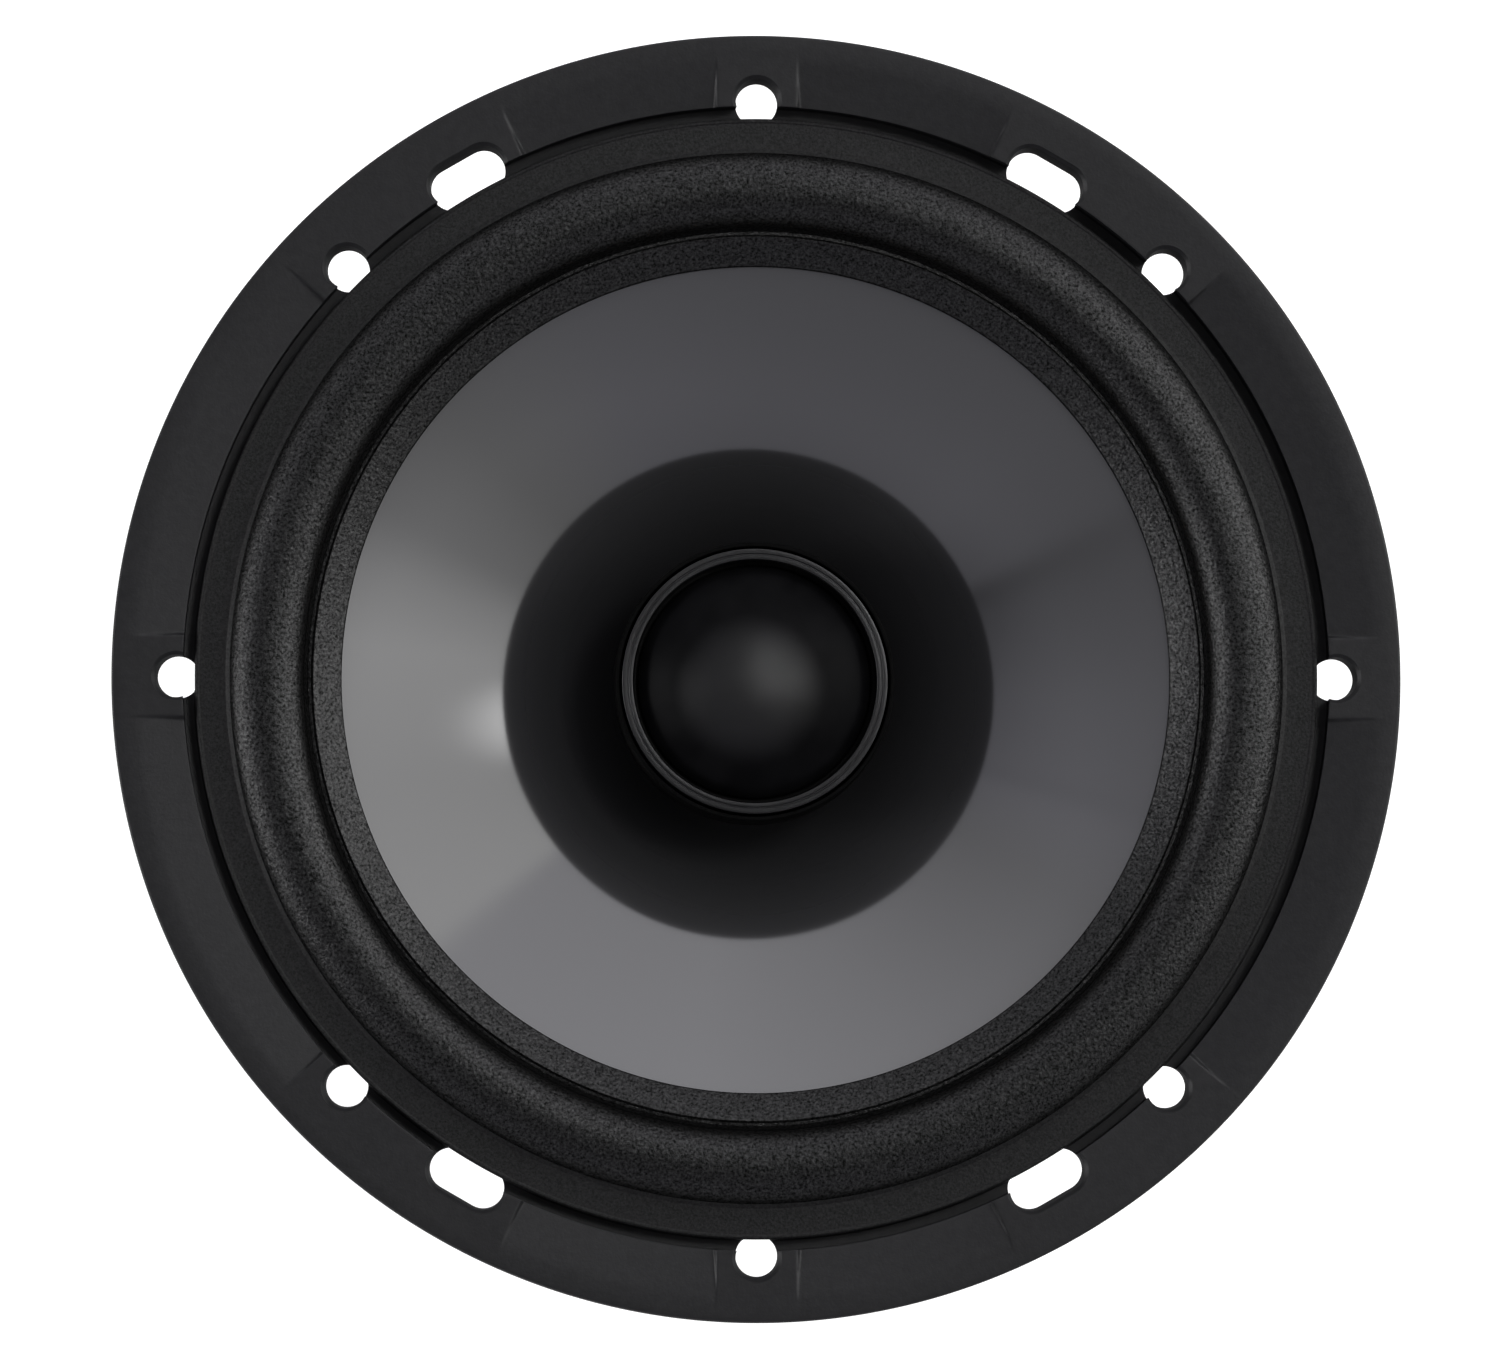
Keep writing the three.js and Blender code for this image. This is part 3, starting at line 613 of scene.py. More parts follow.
def satin_paint():
    """Black satin paint on a casting: a faint orange peel and dust-fine speckle."""
    m = Nodes("satin_black_paint")
    m.colour(m.ramp(m.noise(900, 3), (0.0058, 0.0058, 0.0063), (0.0080, 0.0080, 0.0086)))
    m.roughness(m.noise(260, 3), 0.40, 0.52)
    m.bump(m.noise(2600, 2, 0.6), 0.020)
    m.gloss(m.slant_fade(0.20))
    return m.material


def grained_rubber(name, level, depth, rough, scale, gloss, sparkle=0.85):
    """Black rubber whose skin has the grain of its mould."""
    m = Nodes(name)
    speckle = m.noise(scale, 3, 0.75)
    m.colour(m.ramp(speckle, grey(level * 0.6), grey(level * 2.2), 0.35, 0.7))
    m.roughness(m.noise(420, 3), *rough)
    shine = m.range(speckle, (1 - sparkle) * gloss, (1 + 1.1 * sparkle) * gloss, 0.35, 0.68)
    m.gloss(m.maths("MULTIPLY", shine, m.slant_fade(1.0)))
    grain = m.bump(speckle, depth)
    m.bump(m.cells(scale * 0.7), depth * 0.6, before=grain)
    return m.material


def cone_gloss():
    """Glossy graphite-grey cone, its colour darkened towards the neck as painted shade from the tweeter."""
    m = Nodes("cone_gloss")
    near_neck, near_rim = 0.019, 0.052
    outward = m.range(m.distance(), 0, 1, near_neck, near_rim)
    # Painted shade: the base colour darkens from the rim in to the neck, where the tweeter shades the cone.
    m.colour(m.ramp(outward, (0.0090, 0.0090, 0.0094), (0.035, 0.035, 0.0365), 0, 1))
    m.roughness(m.noise(160, 2), 0.080, 0.105)
    m.bump(m.noise(90, 1), 0.0015)
    return m.set(Specular_IOR_Level=0.60)


def woven_cloth():
    """Phenolic-dipped cotton: amber, open weave."""
    m = Nodes("spider_cloth")
    warp, weft = m.waves(1350, "X"), m.waves(1350, "Y")
    weave = m.maths("MULTIPLY", warp, weft)
    m.colour(m.ramp(weave, (0.24, 0.13, 0.03), (0.62, 0.40, 0.14), 0.05, 0.55))
    m.roughness(m.noise(700), 0.65, 0.85)
    m.bump(m.maths("ADD", warp, weft), 0.12)
    return m.set(Specular_IOR_Level=0.35)


def metal(name, low, high, rough, ring_scale=900, depth=0.006):
    """Turned or plated metal with lathe rings and blotchy plating."""
    m = Nodes(name)
    m.colour(m.ramp(m.noise(140, 3), low, high, 0.3, 0.7))
    m.roughness(m.noise(330, 4, 0.7), *rough)
    m.bump(m.rings(ring_scale), depth)
    return m.set(Metallic=1.0)


def blotchy(name, mottle, low, high, patches, rough, relief=None, depth=0.0, **values):
    """A plain material: mottled colour, patchy roughness and, with relief, a fine grain.

    mottle, patches and relief are a noise's scale, detail and roughness.
    """
    m = Nodes(name)
    m.colour(m.ramp(m.noise(*mottle), low, high))
    m.roughness(m.noise(*patches), *rough)
    if relief:
        m.bump(m.noise(*relief), depth)
    return m.set(**values)


def plastic(name, low, high, rough, gloss=0.5):
    return blotchy(name, (900, 2), low, high, (200, 2), rough, (1800, 2), 0.01, Specular_IOR_Level=gloss)


def coated_silk():
    """The dome's fine cloth, closed by a soft black coating that loses its sheen at an angle."""
    m = Nodes("coated_silk")
    warp, weft = m.waves(2600, "X"), m.waves(2600, "Y")
    m.colour(m.ramp(m.noise(220, 3), (0.0018, 0.0018, 0.0020), (0.0030, 0.0030, 0.0033)))
    m.roughness(m.noise(150, 2), 0.31, 0.37)
    m.bump(m.maths("ADD", warp, weft), 0.006)
    facing = m.add("ShaderNodeLayerWeight").outputs["Facing"]
    m.gloss(m.range(m.maths("SQRT", facing), 0.46, 0.02, 0.04, 0.36, "SMOOTHSTEP"))
    return m.material


def enamelled_copper():
    m = Nodes("enamelled_copper")
    m.colour(m.ramp(m.waves(1500, "Z"), (0.28, 0.07, 0.02), (0.62, 0.23, 0.09), 0.1, 0.8))
    m.roughness(m.noise(500), 0.25, 0.38)
    return m.set(Metallic=1.0, Coat_Weight=0.6, Coat_Roughness=0.2)


def laminate():
    """Brown paper-phenolic board with a faint fibre grain."""
    m = Nodes("board_laminate")
    grain = m.noise(260, 4, 0.7, m.stretched((1, 9, 9)))
    m.colour(m.ramp(grain, (0.105, 0.045, 0.015), (0.190, 0.090, 0.034)))
    m.roughness(m.noise(500, 2), 0.38, 0.55)
    m.bump(grain, 0.02)
    return m.set(Coat_Weight=0.15)


PAINT = satin_paint()
GASKET_SKIN = grained_rubber("gasket_foam", 0.0030, 0.040, (0.50, 0.62), 3000, 0.17, sparkle=0.3)
ROLL_RUBBER = grained_rubber("surround_rubber", 0.0018, 0.075, (0.34, 0.44), 2700, 0.23)
BOOT_RUBBER = grained_rubber("boot_rubber", 0.0095, 0.05, (0.50, 0.66), 2000, 0.5)
CONE_GLOSS = cone_gloss()
CLOTH = woven_cloth()
ZINC = metal("zinc_plate", (0.22, 0.225, 0.235), (0.32, 0.325, 0.335), (0.34, 0.48))
NICKEL = metal("nickel_plate", (0.62, 0.60, 0.56), (0.72, 0.70, 0.66), (0.16, 0.26))
TRIM_METAL = metal("trim_anodised", (0.036, 0.036, 0.037), (0.046, 0.046, 0.047), (0.30, 0.38), 1200, 0.003)
TIN = metal("tinned_brass", (0.60, 0.47, 0.22), (0.78, 0.63, 0.34), (0.24, 0.4), 700, 0.004)
FERRITE = blotchy(
    "ferrite",
    (1500, 4, 0.7),
    (0.026, 0.027, 0.030),
    (0.060, 0.061, 0.066),
    (300, 3),
    (0.45, 0.65),
    (900, 4, 0.7),
    0.05,
    Specular_IOR_Level=0.6,
)
# Painted shade: the tweeter cup and its edge film are a near-zero black, darker than black plastic, standing
# in for the shade at the cup's rim and in the gap round the dome.
CUP_PLASTIC_AND_SHADE = plastic("tweeter_cup_plastic_and_shade", grey(0.0006), grey(0.0012), (0.55, 0.65), 0.03)
EDGE_FILM_AND_SHADE = plastic("tweeter_edge_film_and_shade", grey(0.0010), grey(0.0018), (0.50, 0.60), 0.06)
POST_PLASTIC = plastic("post_plastic", grey(0.008), grey(0.012), (0.40, 0.55))
RED_PVC = plastic("red_pvc", (0.30, 0.012, 0.010), (0.38, 0.020, 0.014), (0.30, 0.42))
BLACK_PVC = plastic("black_pvc", grey(0.010), grey(0.016), (0.30, 0.42))
BLUE_SLEEVE = plastic("capacitor_sleeve", (0.014, 0.050, 0.170), (0.020, 0.070, 0.220), (0.25, 0.36))
EPOXY = plastic("capacitor_epoxy", (0.30, 0.20, 0.07), (0.38, 0.26, 0.10), (0.25, 0.4))
SILK = coated_silk()
COPPER = enamelled_copper()
LAMINATE = laminate()
FILM = blotchy(
    "amber_film", (90, 2), (0.36, 0.13, 0.02), (0.52, 0.22, 0.05), (300,), (0.22, 0.34), Coat_Weight=0.4
)
FELT = blotchy(
    "felt", (1800, 5, 0.8), grey(0.05), grey(0.13), (400,), (0.9, 1.0), (2400, 5, 0.85), 0.2, Sheen_Weight=0.4
)
BRAID = blotchy(
    "tinned_braid", (3200, 3), (0.30, 0.24, 0.17), (0.66, 0.58, 0.47), (900,), (0.30, 0.5), Metallic=0.9
)
SOLDER = blotchy(
    "solder", (800, 3), (0.42, 0.42, 0.43), (0.62, 0.62, 0.63), (600,), (0.22, 0.42), Metallic=1.0
)
GLUE = blotchy(
    "dark_glue",
    (500, 2),
    (0.02, 0.016, 0.012),
    (0.045, 0.036, 0.026),
    (300, 2),
    (0.18, 0.3),
    (350, 2),
    0.08,
    Coat_Weight=0.3,
)


def dress(obj, material, body, nodes):
    """Gives a piece its material, lets it ride on its body, and hides what it stands for."""
    if material is not None:
        obj.data.materials.clear()
        obj.data.materials.append(material)
    if body:
        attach(obj, body)
    if nodes:
        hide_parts(*nodes)
    return obj


def lathed_piece(node, corners, sides, material, body="frame", steps=4):
    """A lathed piece that stands for the CAD node of the same name."""
    return dress(lathed(node, corners, sides, steps), material, body, [node])


def bend_radially(obj):
    """Bakes obj's placement into its mesh."""
    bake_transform(obj)


# ------------------------------------------------------------------ basket


def mirrored_spans(start, stop):
    return [(start, stop), (180 - stop, 180 - start), (180 + start, 180 + stop), (360 - stop, 360 - start)]


WIDE_PADS = mirrored_spans(PAD_FROM, PAD_TO)


def softened(value, width):
    """value where it is positive, 0 where it is negative, with a rounded corner between."""
    return 0.5 * (value + np.sqrt(value**2 + width**2))


def pocket_depth(r, angles):
    """How far the flange's front dips between its screw pads: a ramp inward, with drafted sides."""
    side_round, ramp_round, join_round = 0.10, 0.06, 0.08
    x, y = r * np.cos(angles), r * np.sin(angles)
    side = np.minimum(np.abs(x), np.abs(y)) - PAD_HALF
    degrees = np.degrees(angles) % 360
    for start, stop in WIDE_PADS:
        past = np.maximum(start - degrees, degrees - stop)
        side = np.minimum(side, r * np.radians(past))
    draft = softened(POCKET_DRAFT * side, side_round)
    ramp = softened(POCKET_DEPTH * (POCKET_OUTER_R - r) / (POCKET_OUTER_R - LANDING_R), ramp_round)
    return np.clip(ramp - softened(ramp - draft, join_round), 0, None)


def rim_angles():
    """Angles round the flange, closer together at the sides of the pads."""
    angles = list(np.arange(0, 360, 0.5))
    for middle in (0, 90, 180, 270):
        for sign in (-1, 1):
            angles += [middle + sign * a for a in np.arange(3.3, 6.1, 0.1)]
    for start, stop in WIDE_PADS:
        angles += [start - a for a in np.arange(-0.4, 2.2, 0.1)]
        angles += [stop + a for a in np.arange(-0.4, 2.2, 0.1)]
    turned_once = np.unique(np.round(np.array(angles) % 360, 3))
    return np.radians(turned_once)


def basket_rim():
    """The flange, its landing for the surround, and the wall behind it."""
    angles = rim_angles()
    lower = fillet(
        [
            (FLANGE_R, MOUNT_Z + 1.5),
            (FLANGE_R, MOUNT_Z, 0.5),
            (WALL_OUTER, MOUNT_Z, 1.2),
            (WALL_OUTER, WALL_LOW, 0.7),
            (WALL_INNER, WALL_LOW, 0.7),
            (WALL_INNER, MOUNT_Z - 1, 0.8),
            (LANDING_INNER_R, MOUNT_Z - 0.2, 0.3),
            (LANDING_INNER_R, LANDING_Z, 0.3),
            (LIP_R + 0.05, LANDING_Z, 0.1),
            (LIP_R + 0.10, GAP_FLOOR_Z, 0.1),
            (LANDING_R, GAP_FLOOR_Z, 0.2),
            (LANDING_R, FRONT_Z - 1.5),
        ]
    )
    whole = np.ones(len(angles))
    rows = [(r * whole, z * whole) for r, z in lower]
    edge = 0.06
    for t in np.linspace(0, 90, 5):
        a = math.radians(t)
        r = LANDING_R + edge * (1 - math.cos(a))
        top = FRONT_Z - pocket_depth(LANDING_R + edge, angles)
        rows.append((r * whole, top - edge * (1 - math.sin(a))))
    for r in np.arange(LANDING_R + edge + 0.25, POCKET_OUTER_R + 1.0, 0.25):
        rows.append((r * whole, FRONT_Z - pocket_depth(r, angles)))
    for r, z in arc((FLANGE_R - RIM_ROUND, FRONT_Z - RIM_ROUND), (RIM_ROUND, RIM_ROUND), 90, 0, 6):
        rows.append((r * whole, z * whole))
    points = [np.stack([r * np.cos(angles), r * np.sin(angles), z], axis=1) for r, z in rows]
    return mesh_from("basket", np.concatenate(points), ring_faces(len(rows), len(angles), True))


def basket_cup():
    """The base ring on the motor, the cup wall and the shelf for the spider."""
    ring_top = BASE_Z + CUP_RING_THICKNESS
    wall = CUP_RING_OUTER - 3
    return lathed(
        "cup",
        [
            (CUP_RING_INNER, BASE_Z, 0.3),
            (CUP_RING_OUTER, BASE_Z, 0.6),
            (CUP_RING_OUTER, SHELF_TOP - 2.4, 0.5),
            (SHELF_OUTER, SHELF_TOP - 1.6, 0.3),
            (SHELF_OUTER, SHELF_TOP, 0.3),
            (SHELF_INNER, SHELF_TOP, 0.3),
            (SHELF_INNER, SHELF_TOP - 2, 0.3),
            (wall, SHELF_TOP - 2, 0.5),
            (wall, ring_top, 0.6),
            (CUP_RING_INNER, ring_top, 0.4),
        ],
        240,
    )


def arm_route():
    """The arm's outer face in its [r, z] plane, from the cup to the rim wall, rounded at the top."""
    slope = math.tan(ARM_SLOPE)
    low_z = BASE_Z + 3.4
    top_r = WALL_OUTER - 0.4
    corner = (top_r, ARM_Z + (top_r - ARM_R) * slope)
    low = (ARM_R + (low_z - ARM_Z) / slope, low_z)
    points = fillet([low, (*corner, 9.0), (top_r, WALL_LOW + 4.5), (0, WALL_LOW + 4.5)], 12)
    return np.array(points[:-1])


def basket_arm(degrees, plain):
    """A cast arm with a shallow channel down its outer face, wider where it meets the rim."""
    route = arm_route()
    along = np.concatenate([[0], np.cumsum(np.linalg.norm(np.diff(route, axis=0), axis=1))])
    at = np.linspace(0, along[-1], 60)
    line = np.stack([np.interp(at, along, route[:, k]) for k in range(2)], axis=1)
    tangents = np.gradient(line, axis=0)
    tangents /= np.linalg.norm(tangents, axis=1)[:, None]
    rows = []
    for (r, z), (tr, tz), s in zip(line, tangents, at / along[-1]):
        flare = 1 + 0.35 * max(0.0, (s - 0.72) / 0.28) ** 2 + 0.12 * max(0.0, (0.12 - s) / 0.12)
        half = ARM_HALF * flare
        open_part = 0.0 if plain else min(1.0, (s - 0.10) / 0.08, (0.86 - s) / 0.08)
        channel = max(0.03, open_part)
        thick = ARM_THICKNESS
        section = fillet(
            [
                (-half, -thick, 0.9),
                (half, -thick, 0.9),
                (half, 0, 0.8),
                (half - 2.2, 0, 0.35),
                (half - 3.0, -channel, 0.35),
                (-half + 3.0, -channel, 0.35),
                (-half + 2.2, 0, 0.35),
                (-half, 0, 0.8),
            ],
            4,
        )
        outward = (tz, -tr)
        rows.append([(r + n * outward[0], t, z + n * outward[1]) for t, n in section])
    return about_axis(swept("arm", rows), degrees)


def hole_cutter(radius, run, degrees):
    """A hole through the flange: it leans inward to the rear and is chamfered at both ends."""
    rows = []
    for z, grow, lean in (
        (MOUNT_Z - 1, 1.25, HOLE_LEAN),
        (MOUNT_Z + 0.25, 0, HOLE_LEAN),
        (MOUNT_Z + 1.0, 0, HOLE_LEAN),
        (FRONT_Z - 0.45, 0.05, 0),
        (FRONT_Z + 0.8, 1.30, 0),
    ):
        r = radius + grow
        right = arc((0, run), (r, r), 0, 180, 20)
        left = arc((0, -run), (r, r), 180, 360, 20)
        if run == 0:
            right = right[:-1]
            left = left[:-1]
        rows.append([(x + HOLE_CIRCLE_R - lean, y, z) for x, y in right + left])
    return about_axis(swept("hole", rows), degrees)


def vent_cutter(degrees):
    low, high = BASE_Z + 2.5, SHELF_TOP - 2.5
    outline = rounded_rectangle(8.0, high - low, 1.4)
    middle = (low + high) / 2
    rows = []
    for x in (CUP_RING_OUTER - 5, CUP_RING_OUTER + 3):
        rows.append([(x, t, middle + h) for t, h in outline])
    return about_axis(swept("vent", rows), degrees)


BOARD_MATRIX = Matrix.Translation((0, -ARM_R * MM, ARM_Z * MM)) @ Matrix.Rotation(math.pi - ARM_SLOPE, 4, "X")
RIVET_YS = (-6.5, 0.5)
SCREW_ANGLES = (45, 135, 225, 315)
SCREW_CIRCLE = 34.0


def on_board(obj):
    """Moves a piece modelled on the board's own axes onto the rear arm."""
    return placed(obj, BOARD_MATRIX)


def board_point(x, y, z):
    return np.array(BOARD_MATRIX @ Vector((x * MM, y * MM, z * MM))) / MM


def peg(name, radius, low, high, sides=40, x=0.0, y=0.0):
    """A plain round pin, for cutting a bore."""
    return moved(turned(name, [(0, low), (radius, low), (radius, high), (0, high)], sides), x, y)


def screw_hole_cutters(low, high):
    return [at_polar(peg("screw_hole", 2.2, low, high), SCREW_CIRCLE, a) for a in SCREW_ANGLES]


def make_basket():
    basket = basket_rim()
    arms = [basket_arm(30 + 60 * i, plain=(30 + 60 * i) == 270) for i in range(6)]
    cut_or_join(basket, [basket_cup(), *arms], "UNION")
    cutters = [hole_cutter(HOLE_R, 0, 45 * i) for i in range(8)]
    cutters += [hole_cutter(SLOT_R, SLOT_HALF_RUN, a) for a in SLOT_ANGLES]
    cutters += [vent_cutter(15 + 30 * i) for i in range(12)]
    cutters += [on_board(peg("rivet_hole", 1.8, -ARM_THICKNESS - 1, 1, y=y)) for y in RIVET_YS]
    cutters += screw_hole_cutters(BASE_Z - 1, BASE_Z + 4)
    cut_or_join(basket, cutters, "DIFFERENCE")
    dress(basket, PAINT, "frame", ["basket"])


# ------------------------------------------------------------------ cone, surround, spider


def cone_z(r):
    return CONE_TOP_Z + (r - CONE_NECK_R) * math.tan(CONE_SLOPE)


def make_gasket():
    """A rubber ring that falls outward, with a fine inner ridge and a thin raised outer edge."""
    inner, ridge, lip, fall = 67.75, 0.38, 0.12, 0.62
    lathed_piece(
        "surround_gasket",
        [
            (inner, GASKET_LOW, 0.1),
            (GASKET_R, GASKET_LOW, 0.1),
            (GASKET_R, GASKET_HIGH - fall - 0.10, 0.12),
            (GASKET_R - 0.22, GASKET_HIGH - fall + lip, 0.08),
            (GASKET_R - 0.42, GASKET_HIGH - fall + lip, 0.08),
            (GASKET_R - 0.60, GASKET_HIGH - fall, 0.1),
            (inner + 0.62, GASKET_HIGH - ridge, 0.1),
            (inner + 0.08, GASKET_HIGH, 0.05),
            (inner, GASKET_HIGH, 0.03),
        ],
        360,
        GASKET_SKIN,
        steps=5,
    )


def make_surround():
    """The half-roll, its outer flange under the gasket, and its strip glued on the cone."""
    foot, thick = ROLL_INNER + 1.0, 0.6
    rise = CREST_Z - ROLL_BASE
    centre = (ROLL_MIDDLE, ROLL_BASE)
    inward, outward = ROLL_MIDDLE - foot, ROLL_OUTER + 0.45 - ROLL_MIDDLE
    web_z = cone_z(ROLL_INNER) + 0.1
    strip = [(STRIP_INNER, cone_z(STRIP_INNER) + 0.1), (ROLL_INNER, web_z), (foot + 0.3, web_z)]
    top = arc(centre, (outward, rise), 21, 90, 26)[:-1] + arc(centre, (inward, rise), 90, 172, 26)
    hollow = rise - thick
    under = arc(centre, (inward - thick, hollow), 175, 90, 22)[:-1]
    under += arc(centre, (outward - thick, hollow), 90, 0, 22)
    outline = [
        (LIP_R, LANDING_Z + 0.1),
        (LIP_R, ROLL_BASE - 0.02),
        (ROLL_OUTER + 0.1, ROLL_BASE - 0.02),
        *top,
        *fillet(
            [
                (foot - 0.1, web_z + 0.25, 0.12),
                (ROLL_INNER + 0.15, web_z + 0.25, 0.12),
                (ROLL_INNER - 0.12, cone_z(ROLL_INNER - 0.12) + 0.72, 0.10),
                (STRIP_INNER + 0.12, cone_z(STRIP_INNER + 0.12) + 0.66, 0.12),
                (STRIP_INNER, cone_z(STRIP_INNER) + 0.45),
            ],
            4,
        ),
        *strip,
        *under,
        (ROLL_OUTER - thick, LANDING_Z + 0.1),
    ]
    surround = turned("surround", outline, 360, crease=50)
    dress(surround, ROLL_RUBBER, None, ["surround"])
    bend_radially(surround)


def make_cone():
    drop = SKIN / math.cos(CONE_SLOPE)
    neck = CONE_NECK_R
    lathed_piece(
        "cone",
        [
            (neck, CONE_LOW, 0.1),
            (neck + SKIN, CONE_LOW, 0.1),
            (neck + SKIN, cone_z(neck + SKIN) - drop, 0.8),
            (CONE_R, cone_z(CONE_R) - drop, 0.1),
            (CONE_R, cone_z(CONE_R), 0.1),
            (neck, CONE_TOP_Z, 0.3),
        ],
        360,
        CONE_GLOSS,
        body="cone",
        steps=5,
    )
    inner, top = FORMER_R + 0.02, CONE_LOW - 0.02
    bead = lathed("cone_glue_bead", [(inner, CONE_LOW - 1, 0.1), (neck + 0.55, top, 0.3), (inner, top)], 120)
    dress(bead, GLUE, "cone", [])


def make_spider():
    """Corrugated cloth: five waves between the glued rim and the glued neck."""
    thick, waves, crest = 0.45, 5, 0.85
    first, last = 16.2, 36.6
    middle = (SPIDER_LOW + SPIDER_HIGH) / 2
    line = []
    for r in np.linspace(CONE_NECK_R, SPIDER_R, 150):
        t = np.clip((r - first) / (last - first), 0, 1)
        line.append((r, middle + crest * math.sin(2 * math.pi * waves * t)))
    top = [(r, z + thick / 2) for r, z in line]
    bottom = [(r, z - thick / 2) for r, z in line]
    spider = turned("spider", bottom + top[::-1], 240, crease=60)
    dress(spider, CLOTH, None, ["spider"])
    bend_radially(spider)
    inner, low = FORMER_R + 0.02, middle + thick / 2 + 0.02
    corners = [(inner, low), (FORMER_R + 1.3, low, 0.2), (inner, low + 0.88, 0.1)]
    bead = lathed("spider_glue_bead", corners, 120)
    dress(bead, GLUE, "cone", [])


def make_voice_coil():
    former_inner, winding_inner, pitch = 12.6, 12.9, 0.4
    wall = tube(former_inner, FORMER_R, FORMER_LOW, FORMER_HIGH, 0.05, 0.05)
    lathed_piece("voice_coil_former", wall, 180, FILM, body="cone")
    turns = int((WINDING_HIGH - WINDING_LOW) / pitch)
    outline = [(winding_inner, WINDING_LOW)]
    for i in range(turns):
        centre = (WINDING_R - pitch / 2, WINDING_LOW + pitch * (i + 0.5))
        outline += arc(centre, (pitch / 2, pitch / 2), -80, 80, 4)
    outline.append((winding_inner, WINDING_HIGH))
    winding = turned("voice_coil_winding", outline, 144, crease=60)
    dress(winding, COPPER, "cone", ["voice_coil_winding"])


# ------------------------------------------------------------------ motor


def make_magnet_system():
    recess, recess_top = 9.5, YOKE_LOW + 3.6
    pole, magnet_hole, plate_hole = 12.0, 20, 14
    yoke_top = FERRITE_LOW
    grooves = []
    for r in (14.0, 24.0, 36.0):
        bed = YOKE_LOW + 0.2
        grooves += [(r, YOKE_LOW), (r + 0.25, bed), (r + 0.75, bed), (r + 1.0, YOKE_LOW)]
    lathed_piece(
        "pole_yoke",
        [
            (recess, YOKE_LOW, 0.25),
            *grooves,
            (YOKE_R, YOKE_LOW, 0.7),
            (YOKE_R, yoke_top, 0.4),
            (pole, yoke_top, 0.4),
            (pole, POLE_TOP, 0.5),
            (BORE_R, POLE_TOP, 0.3),
            (BORE_R, recess_top, 0.2),
            (recess, recess_top, 0.3),
        ],
        180,
        ZINC,
    )
    block = tube(magnet_hole, FERRITE_R, FERRITE_LOW, FERRITE_HIGH, 0.8, 1.1)
    lathed_piece("ferrite_magnet", block, 240, FERRITE, steps=6)
    plate = lathed(
        "top_plate",
        [
            (plate_hole, PLATE_LOW, 0.2),
            (PLATE_R, PLATE_LOW, 0.5),
            (PLATE_R, PLATE_HIGH, 0.7),
            (plate_hole, PLATE_HIGH, 0.3),
        ],
        240,
        steps=5,
    )
    cut_or_join(plate, screw_hole_cutters(PLATE_LOW + 0.5, PLATE_HIGH + 1), "DIFFERENCE")
    dress(plate, ZINC, "frame", ["top_plate"])


def make_motor_screws():
    """Pan-head screws with cross recesses."""
    top = BASE_Z + CUP_RING_THICKNESS
    head_r, crest, root = 3.75, 2.0, 1.65
    for i, angle in enumerate(SCREW_ANGLES):
        head = fillet(
            [
                (0, top + 2.2),
                (2.2, top + 2.1, 0.6),
                (head_r, top + 1.2, 1.0),
                (head_r, top + 0.02, 0.2),
                (crest, top + 0.02),
            ],
            5,
        )
        thread = []
        for k in range(8):
            z = top - 0.3 - 0.7 * k
            thread += [(crest, z), (root, z - 0.35)]
        screw = turned("motor_screw", [*head, *thread, (0, top - 6)][::-1], 48)
        cross = [rounded_rectangle(3.6, 0.8, 0.2), rounded_rectangle(0.8, 3.6, 0.2)]
        arms = [slab("recess", outline, top + 1.0, top + 3, 0.05) for outline in cross]
        cut_or_join(screw, arms, "DIFFERENCE")
        about_axis(screw, 20 + 37 * i)
        at_polar(screw, SCREW_CIRCLE, angle)
        screw.name = f"motor_screw_{i + 1}_piece"
        dress(screw, ZINC, "frame", [f"motor_screw_{i + 1}"])


FLUTES, FLUTE_DEPTH = 36, 0.6
FLUTE_LOW, FLUTE_HIGH, FLUTE_RUNOUT = 2.6, 12.8, 1.2


def make_boot():
    """Moulded rubber boot: a fluted side wall, a beaded lip and a notch for the tweeter's leads."""

    def flutes(r, z, angles):
        radii = np.full(len(angles), float(r))
        if r > BOOT_R - 0.01 and FLUTE_LOW < z < FLUTE_HIGH:
            end = min(z - FLUTE_LOW, FLUTE_HIGH - z) / FLUTE_RUNOUT
            wave = 0.5 + 0.5 * np.cos(FLUTES * angles)
            radii -= FLUTE_DEPTH * min(1.0, end) ** 0.5 * np.clip(1.6 * wave - 0.4, 0, 1)
        return radii, np.full(len(angles), float(z))

    opening, inner, lip, floor, shoulder = 30, 42.8, 45.3, 2.6, 8.3
    outline = fillet(
        [
            (opening, BOOT_LOW + 0.25, 0.3),
            (opening + 1, BOOT_LOW, 0.4),
            (BOOT_R - 1.6, BOOT_LOW, 0.6),
            (BOOT_R, BOOT_LOW + 1.4, 0.8),
            *[(BOOT_R, z) for z in np.linspace(FLUTE_LOW, FLUTE_HIGH, 18)],
            (BOOT_R, BOOT_HIGH, 0.6),
            (lip, BOOT_HIGH, 0.5),
            (lip, shoulder, 0.3),
            (inner, shoulder, 0.3),
            (inner, floor, 0.3),
            (opening, floor, 0.4),
        ],
        4,
    )
    boot = turned("magnet_boot", outline, 720, shape=flutes)
    notch = slab("notch", rounded_rectangle(8, 26, 1.0), -3, BOOT_HIGH + 3, 0.05)
    cut_or_join(boot, [moved(notch, y=-42)], "DIFFERENCE")
    dress(boot, BOOT_RUBBER, "frame", ["magnet_boot"])


def hexagon(flats):
    corner = flats / math.sqrt(3)
    angles = [math.radians(60 * i) for i in range(6)]
    return [(corner * math.cos(a), corner * math.sin(a)) for a in angles]


